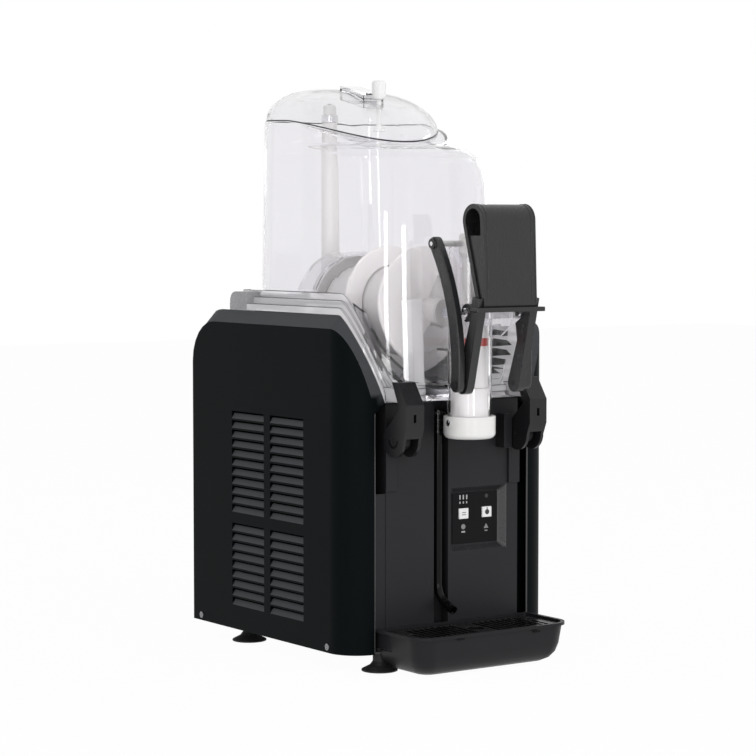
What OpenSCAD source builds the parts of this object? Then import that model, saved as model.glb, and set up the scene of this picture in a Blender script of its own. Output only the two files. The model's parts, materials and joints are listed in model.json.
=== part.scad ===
// Counter-top frozen drink machine: sheet body on suction feet, clear bowl with a turning
// spiral round a cold cylinder, lift-off lid, lever tap, two bowl latches and a drip tray.
// Millimetres, +Z up, front towards -Y. Inside the modules a depth is measured from the
// face of the front panel towards the rear, and from_front() puts it in the part's frame.

/* [Body] */
// Width over the side panels
body_w = 260; // [250:1:280]
// Depth from the front panel's face to the rear panel
body_d = 301; // [296:1:330]
// Height of the side panels' level edge above the table
body_h = 346; // [338:1:366]
// Height of the feet under the body
foot_h = 18; // [16:1:26]
// Thickness of the sheet panels
sheet = 2; // [1.2:0.1:2.6]
// Radius of the front upright corners
corner_r = 33; // [28:1:38]
// Inward reach of the bevel on the top edge
bevel_w = 12; // [9:1:14]
// Rise of the bevel on the top edge
bevel_h = 13; // [9:1:15]
// Fall of the outer top edge round the front corner
front_drop = 84; // [78:1:92]
// Fall from the level edge to the top of the front panel
front_panel_drop = 76; // [70:1:82]
// Room between the bowl's rear wall and the rear top corner
rear_room = 9; // [7:1:16]

/* [Louvres] */
// Length of one louvre
louvre_w = 63.5; // [50:0.5:68]
// Space between the two columns
louvre_gap = 12; // [8:1:18]
// Bar between two louvre windows
louvre_bar = 2; // [1.5:0.1:3]
// Height of the lowest louvre above the panel's lower edge
louvre_foot = 26; // [20:1:34]
// Inward lean of a slat at its top
slat_lean = 3.5; // [2:0.5:5]
// Open slot above a slat
slat_slot = 2.4; // [1.6:0.2:3]
// Depth of the front column's front edge
louvre_front = 81; // [74:1:90]
// Fall from the level edge to the top row
louvre_drop = 94; // [88:1:100]
// Rows in the upper group
upper_rows = 11; // [8:1:11]
// Rows in the lower group
lower_rows = 9; // [6:1:9]

/* [Feet] */
// Diameter of a suction foot
foot_d = 37; // [30:1:40]
// Diameter of a foot's neck
foot_neck_d = 14; // [10:1:15]
// Distance of the front feet's middle from the body's side
foot_inset = 44; // [38:1:50]
// Distance of the rear feet's middle from the body's side
rear_foot_inset = 30; // [28:1:36]
// Depth of the front feet
foot_front = 8; // [8:1:14]
// Distance of the rear feet from the rear panel
foot_rear = 67; // [60:1:68]

/* [Front panel] */
// Distance from the body's side to the front panel's edge
front_margin = 46; // [42:1:48]
// Depth of the front panel's side walls
front_depth = 15; // [14:1:18]
// Wall of the front panel
front_t = 3; // [2:0.2:3.4]
// Width of the drain groove
groove_w = 18; // [14:1:20]
// Place of the drain groove across the panel
groove_x = -15; // [-22:1:-14]
// Depth of the drain groove
groove_depth = 11.6; // [10:0.2:11.6]

/* [Controls] */
// Width of the control recess
recess_w = 72; // [66:1:76]
// Height of the control recess
recess_h = 66; // [60:1:72]
// Place of the recess centre across the panel
recess_x = 33; // [32:1:37]
// Height of the recess centre above the body's floor
recess_rise = 127.5; // [118:0.5:138]
// Depth of the recess
recess_depth = 7; // [5:0.5:8]
// Slope of the recess's sides over its depth
recess_draft = 6; // [3:0.5:8]
// Thickness of the black control plate
plate_t = 1; // [0.6:0.1:1.4]
// Width of a button
button_w = 12; // [10:0.5:14]
// Height of a button
button_h = 11; // [9:0.5:13]
// Distance between the buttons
button_spacing = 30; // [24:1:32]
// Rise of the buttons above the recess centre
button_rise = 5; // [0:1:8]
// Height of a button above the control plate
button_proud = 1.3; // [1:0.1:2]

/* [Drip tray] */
// Reach of the tray's rim beyond each edge of the front panel
tray_side = 13; // [11:0.5:14]
// Reach of the tray in front of the panel
tray_reach = 77; // [68:1:80]
// Height of the tray's rim
tray_top = 44; // [43:1:48]
// Height of the tray's underside
tray_bottom = 3.5; // [3:0.5:6]
// Wall of the tray
tray_wall = 2.5; // [2:0.1:3]
// Inward slope of the tray's walls
tray_taper = 4; // [3:0.5:6]
// Radius of the tray's front corners
tray_corner = 22; // [20:1:26]
// Width of the rim's lip
tray_lip = 2.5; // [1.5:0.1:3]
// Thickness of the grille
grille_t = 3.5; // [2.5:0.1:4]
// Distance from one grille slot to the next
slot_pitch = 7.6; // [6.4:0.2:9]
// Width of a grille slot
slot_w = 4.4; // [3:0.2:4.8]
// Reach of the arms that carry the tray
arm_reach = 22; // [16:1:26]
// Height of the arms that carry the tray
arm_h = 15; // [12:1:16]
// Width of the arms that carry the tray
arm_w = 7; // [5:0.5:7.5]

/* [Bowl] */
// Width of the bowl above the ledge
bowl_w = 184; // [180:1:190]
// Depth of the bowl's front wall at its foot
bowl_front = 3; // [2:0.5:6]
// Depth of the bowl's rear wall
bowl_rear = 248; // [244:1:252]
// Wall of the bowl
bowl_wall = 3; // [2.4:0.1:3.4]
// Radius of the bowl's front corners
bowl_front_r = 70; // [60:1:78]
// Radius of the bowl's rear corners
bowl_rear_r = 40; // [30:1:46]
// Backward lean of the front wall
bowl_lean = 10; // [6:1:14]
// Inward lean of the side walls
bowl_taper = 4; // [2:0.5:6]
// Rise of the rim's rear part above the auger's axis
rim_rise = 199; // [190:1:210]
// Fall of the rim towards the front
rim_dip = 24; // [18:1:28]
// Depth where the lid starts
lid_front = 88; // [84:1:96]
// Depth where the rim becomes level
rim_level = 200; // [190:1:206]
// Radius of the front shoulder
shoulder_r = 48; // [40:1:52]
// Depth of the trough's rear wall
trough_rear = 170; // [168:1:174]
// Rise of the ledge and the rear shelf above the auger's axis
ledge_rise = 20; // [17:1:22]

/* [Lid] */
// Height of the dome above the rim
dome_h = 36; // [32:1:40]
// Wall of the lid
lid_wall = 2.5; // [2:0.1:3]
// Margin of bowl roof round the lid's opening
opening_margin = 8; // [7:0.5:10]
// Diameter of the lid's knob
knob_d = 15; // [12:0.5:17]
// Height of the lid's knob
knob_h = 20; // [16:1:26]
// Depth of the lid's knob
knob_y = 132; // [128:1:136]

/* [Cold cylinder and auger] */
// Rise of the auger's axis above the side panels' level edge
axis_rise = 14; // [13:1:18]
// Outer diameter of the auger
auger_d = 136; // [130:1:138]
// Gap between the auger and the trough
auger_gap = 5; // [4:0.5:6]
// Pitch of the spiral
auger_pitch = 60; // [56:1:66]
// Thickness of the spiral at its root
flight_t = 7; // [5:0.5:9]
// Thickness of the spiral at its edge
flight_edge = 4; // [3:0.5:5]
// Depth of the spiral's front end
auger_front = 29; // [28:1:31]
// Angle at which the spiral's front end stands, from level
auger_start = 230; // [200:5:260]
// Turn over which the spiral's front part is closed to the hub
nose_turn = 168; // [140:4:176]
// Fall of the spiral's radius at its front end
nose_taper = 6; // [5:0.5:9]
// Depth of the spiral's rear end
auger_rear = 160; // [150:1:161]
// Diameter of the cold cylinder
evaporator_d = 92; // [86:1:94]
// Gap between the cold cylinder and the spiral
scraper_gap = 2; // [1:0.5:3]
// Diameter of the drive shaft
shaft_d = 12; // [10:0.5:14]

/* [Tap] */
// Reach of the spout's axis in front of the panel
tap_reach = 28; // [27:0.5:31]
// Outer diameter of the tap tube
tube_d = 45; // [42:0.5:47]
// Wall of the tap tube
tube_wall = 3; // [2.4:0.1:3.4]
// Fall from the auger's axis to the spout's lower end
spout_drop = 126; // [120:1:130]
// Outer diameter of the spout collar
collar_d = 53; // [52:0.5:56]
// Height of the spout collar
collar_h = 23; // [18:1:26]
// Reach of the lever's pivot in front of the panel
pivot_reach = 72; // [70:0.5:74]
// Rise of the lever's pivot above the auger's axis
pivot_rise = 3; // [0:0.5:6]
// Backward offset of the lever's lower pin from its pivot
link_offset = 8; // [6:0.5:10]
// Distance of the lever's lower pin below its pivot
link_drop = 72; // [68:1:76]
// Rise of the piston's cross pin above the auger's axis
pin_rise = 71; // [68:1:74]
// Diameter of the tap's pins
pin_d = 6; // [5:0.2:7]
// Diameter of the pivot studs
stud_d = 10; // [8:0.5:11]
// Width of the grip
grip_w = 66; // [60:1:72]
// Height of the grip's top above the pivot
grip_rise = 107; // [100:1:112]
// Thickness of the grip's strap
strap_t = 4; // [3:0.5:5]
// Radius of the grip's rolled top
grip_r = 16; // [14:0.5:18]
// Inner distance between the lever's arms
fork_w = 56; // [54:1:60]
// Thickness of a lever arm
arm_t = 9; // [7:0.5:10]
// Thickness of a connecting rod
rod_t = 8; // [6:0.5:9]
// Width of a connecting rod
rod_w = 14; // [12:0.5:15]
// Forward bow of a connecting rod between its ends
rod_bow = 12; // [8:0.5:13]

/* [Latches] */
// Distance of a latch's middle from the front panel's edge
latch_inset = 6; // [5:1:8]
// Width of a latch
latch_w = 22; // [20:1:24]
// Reach of a latch in front of the panel
latch_reach = 42; // [40:1:46]
// Reach of the latch's pivot in front of the panel
latch_pivot_reach = 20; // [19:0.5:22]
// Height of the latch's pivot below the front panel's top
latch_pivot_drop = 35; // [32:1:38]
// Rise of the latch's hook above its pivot
hook_rise = 54; // [52:0.5:56]
// Radius of the latch's lower end
latch_foot_r = 17; // [15:0.5:18]

/* [Clearances] */
// Gap round a turning pin or shaft
running_gap = 0.08; // [0.04:0.01:0.1]
// Gap between sliding pieces
slide_gap = 0.4; // [0.35:0.05:0.5]
// Gap between the bowl's rim and the lid
lid_gap = 0.6; // [0.5:0.05:0.8]
// Gap of the link's open joint round the piston's cross pin
link_gap = 1.3; // [1.2:0.1:1.6]

/* [Hidden] */
$fn = 64;

black = [0.09, 0.1, 0.11];
dark_grey = [0.2, 0.2, 0.21];
white = [0.95, 0.94, 0.91];
clear = [0.85, 0.84, 0.88, 0.35];
steel = [0.72, 0.73, 0.75];
red = [0.75, 0.25, 0.22];

// Overlap that makes two solids of one piece meet in a volume, and reach of a cut past a face
bite = 0.5;
cut = 1;

half_w = body_w / 2;
// Radius of the rear top corner
rear_round = body_d - bowl_rear - rear_room;
front_w = body_w - 2 * front_margin;
foot_x = half_w - foot_inset;
latch_x = front_w / 2 - latch_inset;
floor_z = foot_h + sheet;
front_top = body_h - front_panel_drop;
axis_z = body_h + axis_rise;
// Height of the bevel's upper edge where it ends on the front panel
band_end = front_top + 1;

// Front of the grip, which with the rear panel sets the middle of the part
grip_front = -pivot_reach - 25;
front_y = -(body_d + grip_front) / 2;

// Shapes laid along the axes

module from_front() translate([0, front_y, 0]) children();
module along_x(x0, x1) translate([x0, 0, 0]) rotate([90, 0, 90]) linear_extrude(x1 - x0) children();
module along_y(y0, y1) translate([0, y1, 0]) rotate([90, 0, 0]) linear_extrude(y1 - y0) children();
module along_z(z0, z1) translate([0, 0, z0]) linear_extrude(z1 - z0) children();
module bar_x(x0, x1, r, y, z) translate([x0, y, z]) rotate([0, 90, 0]) cylinder(r = r, h = x1 - x0);
module bar_y(y0, y1, r, x, z) translate([x, y1, z]) rotate([90, 0, 0]) cylinder(r = r, h = y1 - y0);
module bar_z(z0, z1, r, x, y) translate([x, y, z0]) cylinder(r = r, h = z1 - z0);
module box(x0, x1, y0, y1, z0, z1) translate([x0, y0, z0]) cube([x1 - x0, y1 - y0, z1 - z0]);
module mirrored() mirror([1, 0, 0]) children();

// Points on an arc, from one angle to another
function arc(c, r, a0, a1, n) =
    [for (i = [0:n]) let (a = a0 + (a1 - a0) * i / n) [c.x + r * cos(a), c.y + r * sin(a)]];

// Outline of a plan with round corners, the front ones and the rear ones each with a radius
function plan(half, front, rear, front_r, rear_r, n = 10) = concat(
    arc([front_r - half, front + front_r], front_r, 180, 270, n),
    arc([half - front_r, front + front_r], front_r, 270, 360, n),
    arc([half - rear_r, rear - rear_r], rear_r, 0, 90, n),
    arc([rear_r - half, rear - rear_r], rear_r, 90, 180, n));

// Solid swept through a row of sections, each with the same count of points
module sweep(sections, caps) {
    m = len(sections[0]);
    last = (len(sections) - 1) * m;
    sides = [for (i = [0:len(sections) - 2], j = [0:m - 1]) let (k = (j + 1) % m)
        each [[i * m + j, i * m + k, i * m + m + k], [i * m + j, i * m + m + k, i * m + m + j]]];
    first_caps = [for (c = caps) [for (i = [len(c) - 1:-1:0]) c[i]]];
    last_caps = [for (c = caps) [for (v = c) v + last]];
    polyhedron([for (s = sections) each s], concat(sides, first_caps, last_caps));
}

// Side panels

rear_angles = [0, 15, 30, 45, 58, 70, 71, 80, 90];
bevel_start = 70;
corner_steps = 14;
// Bends of the falling outer edge and of the bevel's upper edge round the corner
edge_bend = 2.2;
band_bend = 1.5;

function band_z(a) = body_h + bevel_h - (body_h + bevel_h - band_end) * pow(a / 90, band_bend);

// A station on the top edge: edge point, inward normal, way to the inner face, height of the bevel's edge
function rear_station(a) = let (z = body_h - rear_round * (1 - sin(a)))
    [[-half_w, body_d - rear_round * (1 - cos(a)), z], [1, 0, 0], [0, -cos(a), -sin(a)],
        a > bevel_start ? body_h + bevel_h - (body_h - z) : z];
function corner_station(a) =
    [[-half_w + corner_r * (1 - cos(a)), corner_r * (1 - sin(a)),
            body_h - front_drop * pow(a / 90, edge_bend)],
        [cos(a), sin(a), 0], [0, 0, -1], band_z(a)];
panel_stations = concat([for (a = rear_angles) rear_station(a)],
    [for (i = [0:corner_steps]) corner_station(90 * i / corner_steps)]);
function panel_section(s) = let (
        edge = s[0],
        upper = [edge.x + bevel_w, edge.y, s[3]],
        inner = sheet * (s[1] + s[2]),
        foot = [edge.x, edge.y, foot_h])
    [foot, edge, upper, upper + inner, edge + inner, foot + sheet * s[1]];

louvre_top = body_h - louvre_drop;
louvre_pitch = (louvre_top + louvre_bar - foot_h - louvre_foot) / (upper_rows + lower_rows + 1);
louvre_h = louvre_pitch - louvre_bar;
rows = [for (r = [0:upper_rows + lower_rows]) if (r != upper_rows) louvre_top - r * louvre_pitch];
columns = [louvre_front, louvre_front + louvre_w + louvre_gap];
screw_y = [corner_r + 4.4, body_d - 16.8];
screw_z = foot_h + 6;
screw_r = 2;

module louvre_slat(y, z_top) {
    slat_t = 1.4;
    foot = [-half_w, z_top - louvre_h];
    head = [-half_w + slat_lean, z_top - slat_slot];
    along_y(y, y + louvre_w)
        polygon([foot, foot + [slat_t, 0], head + [slat_t, 0], head]);
}

module side_panel() {
    caps = [[0, 1, 4, 5], [1, 2, 3, 4]];
    difference() {
        sweep([for (s = panel_stations) panel_section(s)], caps);
        along_x(-half_w - cut, -half_w + sheet + cut)
            for (y = columns, z = rows) translate([y, z - louvre_h]) square([louvre_w, louvre_h]);
        for (y = screw_y) bar_x(-half_w - cut, -half_w + sheet + cut, screw_r, y, screw_z);
    }
    for (y = columns, z = rows) louvre_slat(y, z);
}

module left_side_panel() color(black) from_front() side_panel();
module right_side_panel() color(black) from_front() mirrored() side_panel();

module panel_screw(y) {
    head_r = 4;
    head_h = 1.6;
    shank = sheet * 2 + 4;
    bar_x(-half_w - head_h, -half_w, head_r, y, screw_z);
    bar_x(-half_w - bite, -half_w + shank, screw_r, y, screw_z);
}

module panel_screws() color(steel) from_front() for (y = screw_y) {
    panel_screw(y);
    mirrored() panel_screw(y);
}

// Base and feet

upstand_h = 14;
// Feet of one side, the front one first
foot_at = [[foot_x, foot_front], [half_w - rear_foot_inset, body_d - foot_rear]];
stud_r = 3;

module base_pan() color(dark_grey) from_front() difference() {
    inner = half_w - sheet;
    union() {
        along_z(foot_h, floor_z)
            polygon(plan(inner, sheet, body_d - sheet, corner_r - sheet, sheet));
        for (s = [-1, 1])
            box(s > 0 ? inner - sheet : -inner, s > 0 ? inner : sheet - inner,
                corner_r, body_d - sheet, foot_h, foot_h + upstand_h);
    }
    for (s = [-1, 1], p = foot_at) bar_z(foot_h - cut, floor_z + cut, stud_r, s * p.x, p.y);
    for (y = screw_y) bar_x(-half_w, half_w, screw_r, y, screw_z);
    vent_w = 5;
    for (i = [0:6]) let (y = 60 + i * 4 * vent_w)
        box(-60, 60, y, y + vent_w, foot_h - cut, floor_z + cut);
}

// Suction cup with a waisted neck and a stud through the base pan
module foot(x, y) {
    cup_h = 4;
    skirt = 1.6;
    nut_r = 6;
    translate([x, y, 0]) difference() {
        rotate_extrude() polygon([[0, 1], [foot_d / 2 - 4, 0], [foot_d / 2, 0], [foot_d / 2, skirt],
            [foot_neck_d / 2 + 3, cup_h + 2], [foot_neck_d / 2, foot_h / 2 + 1], [foot_neck_d / 2, foot_h],
            [stud_r, foot_h], [stud_r, floor_z], [nut_r, floor_z], [nut_r, floor_z + 4], [0, floor_z + 4]]);
        translate([0, 0, -cut]) cylinder(r1 = foot_d / 2 - 4, r2 = foot_neck_d / 4, h = cut + 2);
    }
}

module foot_front_left() color(black) from_front() foot(-foot_at[0].x, foot_at[0].y);
module foot_front_right() color(black) from_front() foot(foot_at[0].x, foot_at[0].y);
module foot_rear_left() color(black) from_front() foot(-foot_at[1].x, foot_at[1].y);
module foot_rear_right() color(black) from_front() foot(foot_at[1].x, foot_at[1].y);

// Front frame, front panel and rear panel

frame_half = half_w - corner_r - 0.3
    + sqrt(pow(corner_r - sheet, 2) - pow(corner_r - front_depth, 2));

module front_frame() color(black) from_front() difference() {
    box(-frame_half, frame_half, front_depth, front_depth + sheet, floor_z, front_top - 2);
    for (x = [-latch_x, latch_x])
        bar_y(front_depth - cut, front_depth + sheet + cut, screw_r, x, front_top - 60);
}

recess_z = floor_z + recess_rise;
button_z = recess_z + button_rise;
button_x = [recess_x - button_spacing / 2, recess_x + button_spacing / 2];
plate_y = recess_depth - plate_t;

// Sloping sides of the control recess
module recess() hull() {
    w = recess_w - 2 * recess_draft;
    h = recess_h - 2 * recess_draft;
    box(recess_x - recess_w / 2, recess_x + recess_w / 2, -cut, 0,
        recess_z - recess_h / 2, recess_z + recess_h / 2);
    box(recess_x - w / 2, recess_x + w / 2, 0, recess_depth, recess_z - h / 2, recess_z + h / 2);
}

module button_holes(y0, y1) for (x = button_x)
    box(x - button_w / 2 - slide_gap, x + button_w / 2 + slide_gap, y0, y1,
        button_z - button_h / 2 - slide_gap, button_z + button_h / 2 + slide_gap);

module front_panel() color(dark_grey) from_front() difference() {
    half = front_w / 2;
    groove = [groove_x - groove_w / 2, groove_x + groove_w / 2];
    box(-half, half, 0, front_depth, floor_z, front_top);
    difference() {
        box(front_t - half, half - front_t, front_t, front_depth + cut,
            floor_z + front_t, front_top - front_t);
        box(groove[0] - front_t, groove[1] + front_t, 0, front_depth, floor_z, front_top);
        box(recess_x - recess_w / 2 - front_t, recess_x + recess_w / 2 + front_t, 0, recess_depth + front_t,
            recess_z - recess_h / 2 - front_t, recess_z + recess_h / 2 + front_t);
    }
    box(groove[0], groove[1], -cut, groove_depth, floor_z - cut, front_top + cut);
    recess();
    button_holes(0, front_depth);
    // Room for the nuts of the front feet
    for (x = [-foot_x, foot_x]) bar_z(floor_z - cut, floor_z + 5, 7, x, foot_front);
}

rear_bend_z = body_h - rear_round;

module rear_panel() color(black) from_front() difference() {
    inner = half_w - sheet;
    cover = half_w - bevel_w - sheet;
    bend = [body_d - rear_round, rear_bend_z];
    union() {
        box(-inner, inner, body_d - sheet, body_d, floor_z, rear_bend_z);
        along_x(-cover, cover) polygon(concat([[body_d, bend.y - bite]],
            arc(bend, rear_round, 0, 90, 12), [[bend.x - 2, body_h], [bend.x - 2, body_h - sheet]],
            arc(bend, rear_round - sheet, 90, 0, 12), [[body_d - sheet, bend.y - bite]]));
    }
    for (i = [0:9]) box(-70, 70, body_d - sheet - cut, body_d + cut, 150 + i * 12, 154 + i * 12);
    bar_y(body_d - sheet - cut, body_d + cut, gland_r, gland_x, gland_z);
}

// Strain relief in the rear panel
gland_r = 8;
gland_x = half_w - 50;
gland_z = floor_z + 40;

module cable_gland() color(black) from_front() difference() {
    flange_r = gland_r + 4;
    union() {
        bar_y(body_d - sheet - 3, body_d - sheet, flange_r, gland_x, gland_z);
        bar_y(body_d - sheet - 3, body_d, gland_r, gland_x, gland_z);
    }
    bar_y(body_d - sheet - 3 - cut, body_d + cut, gland_r / 2, gland_x, gland_z);
}

// Bulkhead and deck under the bowl

trough_r = auger_d / 2 + auger_gap;
trough_outer = trough_r + bowl_wall;
tunnel_r = evaporator_d / 2 + 12;
seal_t = 3;
flange_t = 3;
flange_r = tunnel_r - 2;
flange_y = trough_rear + seal_t;
bulkhead_y = flange_y + flange_t;
bulkhead_t = 3;
deck_z = body_h + 6;

module mid_bulkhead() color(steel) from_front() difference() {
    half = half_w - sheet;
    low = max(condenser_z[1], louvre_top) + 4;
    top = body_h - 4;
    shoulder = asin((axis_z - top) / flange_r);
    along_y(bulkhead_y, bulkhead_y + bulkhead_t) polygon(concat(
        [[-half, top], [-half, low], [half, low], [half, top]],
        arc([0, axis_z], flange_r, -shoulder, 180 + shoulder, 36)));
    bar_y(bulkhead_y - cut, bulkhead_y + bulkhead_t + cut, shaft_d / 2 + 3, 0, axis_z);
}

// Strip of the valley under the trough, to an angle on each side
module deck_valley(r, angle)
    polygon(concat(arc([0, axis_z], r + sheet, 270 - angle, 270 + angle, 20),
        arc([0, axis_z], r, 270 + angle, 270 - angle, 20)));

module deck() color(steel) from_front() {
    valley_r = trough_outer + 3;
    ledge_half = half_w - bevel_w - sheet - 1;
    front_y0 = front_depth + sheet;
    valley_open = 30;
    arc_steps = 20;
    // Full valley with its shoulders behind the falling corners
    along_y(trough_front + 2, bulkhead_y) difference() {
        union() {
            translate([-ledge_half, deck_z - sheet]) square([2 * ledge_half, sheet]);
            polygon(concat(arc([0, axis_z], valley_r + sheet, 180, 360, arc_steps), [[0, axis_z]]));
        }
        polygon(concat(arc([0, axis_z], valley_r, 180, 360, arc_steps), [[0, axis_z + valley_r]]));
        translate([-half_w, deck_z]) square([body_w, body_h]);
        translate([-valley_r, deck_z - 2 * sheet]) square([2 * valley_r, body_h]);
    }
    // Shallow valley under the falling front ledge
    along_y(front_y0, trough_front + 2) deck_valley(valley_r, valley_open);
    along_y(front_y0 + 8, trough_front + 2) deck_valley(valley_r, 45);
    // Apron that closes the valley's front end onto the front frame
    along_y(front_y0, front_y0 + sheet)
        polygon(concat(arc([0, axis_z], valley_r + bite, 270 - 30, 270 + 30, arc_steps),
            [[valley_r * 0.6, front_top - 12], [-valley_r * 0.6, front_top - 12]]));
}
// Depth where the falling ledge has reached its full height
trough_front = corner_r + 48;

// Raised housing over the drive, under the bowl's rear shelf
cover_top = axis_z + ledge_rise - bowl_wall - 2;
cover_half = bowl_w / 2 - bowl_wall - 8;
cover_y = [bulkhead_y + bulkhead_t, bowl_rear + 4];

module rear_cover() color(black) from_front() {
    brim_half = half_w - bevel_w - sheet - 1;
    box(-brim_half, brim_half, cover_y[1] - bite, body_d - rear_round - 2, body_h - sheet, body_h);
    for (s = [-1, 1]) {
        x = [cover_half - bite, brim_half];
        box(s > 0 ? x[0] : -x[1], s > 0 ? x[1] : -x[0], cover_y[0], cover_y[1], body_h - sheet, body_h);
    }
    difference() {
        box(-cover_half, cover_half, cover_y[0], cover_y[1], body_h - sheet, cover_top);
        box(sheet - cover_half, cover_half - sheet, cover_y[0] - cut, cover_y[1] - sheet,
            body_h - sheet - cut, cover_top - sheet);
    }
}

// Cooling and drive inside the body

module compressor() color(black) from_front() {
    r = 55;
    x = 50;
    rear_gap = 18;
    y = body_d - sheet - r - rear_gap;
    base_t = 6;
    box(x - 26, x + 26, y - 26, y + 26, floor_z, floor_z + base_t + bite);
    translate([x, y, floor_z + base_t]) rotate_extrude()
        polygon(concat([[0, 0], [r - 14, 0]], arc([r - 14, 14], 14, 270, 360, 8),
            [[r, 88], [r + 2, 90], [r + 2, 94], [r, 96]],
            arc([r - 30, 118], 30, 0, 90, 10), [[0, 148]]));
}

condenser_x = [8 - half_w, 38 - half_w];
condenser_l = 150;
condenser_rear = body_d - foot_rear - 9;
condenser_y = [condenser_rear - condenser_l, condenser_rear];
condenser_z = [floor_z, floor_z + 216];

module condenser() color(steel) from_front() difference() {
    box(condenser_x[0], condenser_x[1], condenser_y[0], condenser_y[1], condenser_z[0], condenser_z[1]);
    for (z = [floor_z + 10:12:condenser_z[1] - 10])
        box(condenser_x[0] + 6, condenser_x[1] + cut, condenser_y[0] + 6, condenser_y[1] - 6, z, z + 7);
}

fan_r = 60;
fan_y = (condenser_y[0] + condenser_y[1]) / 2;
fan_z = floor_z + 110;
shroud_x = condenser_x[1];
shroud_t = 3;
fan_hub_r = 15;
fan_x = shroud_x + shroud_t + 4;
fan_w = 16;
fan_shaft_r = 3;

module fan_shroud() color(black) from_front() difference() {
    box(shroud_x, shroud_x + shroud_t, condenser_y[0], condenser_y[1], floor_z, condenser_z[1]);
    bar_x(shroud_x - cut, shroud_x + shroud_t + cut, fan_r + 3, fan_y, fan_z);
}

module fan() color(white) from_front() translate([fan_x, fan_y, fan_z]) rotate([90, 0, 90]) difference() {
    union() {
        cylinder(r = fan_hub_r, h = fan_w);
        for (i = [0:4]) rotate([0, 0, 72 * i]) translate([fan_hub_r - 2, 0, fan_w / 2]) rotate([32, 0, 0])
            translate([0, -13, -0.8]) cube([fan_r - fan_hub_r, 26, 1.6]);
    }
    translate([0, 0, -cut]) cylinder(r = fan_shaft_r + running_gap, h = fan_w + 2 * cut);
}

module fan_motor() color(steel) from_front() {
    motor_x = fan_x + fan_w + 3;
    motor_r = 22;
    motor_l = 34;
    strut_y = fan_r + 10;
    bar_x(fan_x, motor_x + bite, fan_shaft_r, fan_y, fan_z);
    bar_x(motor_x, motor_x + motor_l, motor_r, fan_y, fan_z);
    // Bracket from the shroud round the fan to the motor
    for (s = [-1, 1]) {
        box(shroud_x + shroud_t, motor_x + 8, fan_y + s * strut_y - 3, fan_y + s * strut_y + 3,
            fan_z - 6, fan_z + 6);
        box(motor_x + 4, motor_x + 8, fan_y + (s > 0 ? 0 : -strut_y), fan_y + (s > 0 ? strut_y : 0),
            fan_z - 6, fan_z + 6);
    }
}

module gearmotor() color(steel) from_front() difference() {
    y0 = bulkhead_y + bulkhead_t;
    box_top = cover_top - sheet - 2;
    union() {
        box(-45, 45, y0, y0 + 52, axis_z - 70, box_top);
        bar_y(y0 + 52 - bite, y0 + 86, 30, 0, axis_z - 55);
    }
    bar_y(y0 - cut, y0 + 10, shaft_d / 2 + running_gap, 0, axis_z);
}

module control_board() color([0.1, 0.35, 0.18]) from_front() {
    back = recess_depth + front_t;
    board_gap = 1;
    half_board = [recess_w / 2 - 1, recess_h / 2 - 1];
    box(recess_x - half_board.x, recess_x + half_board.x, back + board_gap, back + board_gap + 1.6,
        recess_z - half_board.y, recess_z + half_board.y);
    // Spacers between the panel and the board
    for (x = [-1, 1], z = [-1, 1])
        bar_y(back, back + board_gap + bite, 2,
            recess_x + x * (half_board.x - 4), recess_z + z * (half_board.y - 4));
}

module control_plate() color(black) from_front() difference() {
    w = recess_w - 2 * recess_draft - 2;
    h = recess_h - 2 * recess_draft - 2;
    box(recess_x - w / 2, recess_x + w / 2, plate_y, recess_depth, recess_z - h / 2, recess_z + h / 2);
    button_holes(plate_y - cut, recess_depth + cut);
}

module button(i) {
    box(button_x[i] - button_w / 2, button_x[i] + button_w / 2,
        plate_y - button_proud, recess_depth + front_t - 0.6,
        button_z - button_h / 2, button_z + button_h / 2);
}

module button_left() color(white) from_front() button(0);
module button_right() color(white) from_front() button(1);

// Cold cylinder, spiral and drive shaft

evaporator_r = evaporator_d / 2;
nose_end = auger_front + auger_pitch * nose_turn / 360;
evaporator_front = nose_end + flight_t / 2 + scraper_gap;
seal_l = 6;
bush_y = bowl_front + 9;
bush_l = 10;
hub_y = bush_y + bush_l + slide_gap;

module evaporator() color(steel) from_front() difference() {
    union() {
        bar_y(evaporator_front, flange_y + bite, evaporator_r, 0, axis_z);
        bar_y(flange_y, flange_y + flange_t, flange_r, 0, axis_z);
    }
    bar_y(evaporator_front - cut, flange_y + flange_t + cut, shaft_d / 2 + 2, 0, axis_z);
}

module shaft_seal() color(red) from_front() difference() {
    bar_y(evaporator_front, evaporator_front + seal_l, shaft_d / 2 + 2, 0, axis_z);
    bar_y(evaporator_front - cut, evaporator_front + seal_l + cut, shaft_d / 2 + running_gap, 0, axis_z);
}

module bowl_gasket() color(red) from_front() difference() {
    bar_y(trough_rear, trough_rear + seal_t, flange_r, 0, axis_z);
    bar_y(trough_rear - cut, trough_rear + seal_t + cut, evaporator_r, 0, axis_z);
}

module drive_shaft() color(steel) from_front()
    bar_y(bush_y + 1, bulkhead_y + bulkhead_t + 8, shaft_d / 2, 0, axis_z);

flight_inner = evaporator_r + scraper_gap;
flight_steps = 110;
turns = (auger_rear - auger_front) / auger_pitch;

hub_r = 14;
// Section of the spiral at one step, as points of the part
function flight_section(i) = let (
        a = auger_start - 360 * turns * i / flight_steps,
        y = auger_front + (auger_rear - auger_front) * i / flight_steps,
        outer = auger_d / 2 - nose_taper * max(0, 1 - (y - auger_front) / 12),
        inner = y < nose_end ? hub_r - 2 : flight_inner,
        profile = [[inner, -flight_t / 2], [outer, -flight_edge / 2],
            [outer, flight_edge / 2], [inner, flight_t / 2]])
    [for (p = profile) [p.x * cos(a), y + p.y, axis_z + p.x * sin(a)]];

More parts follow.
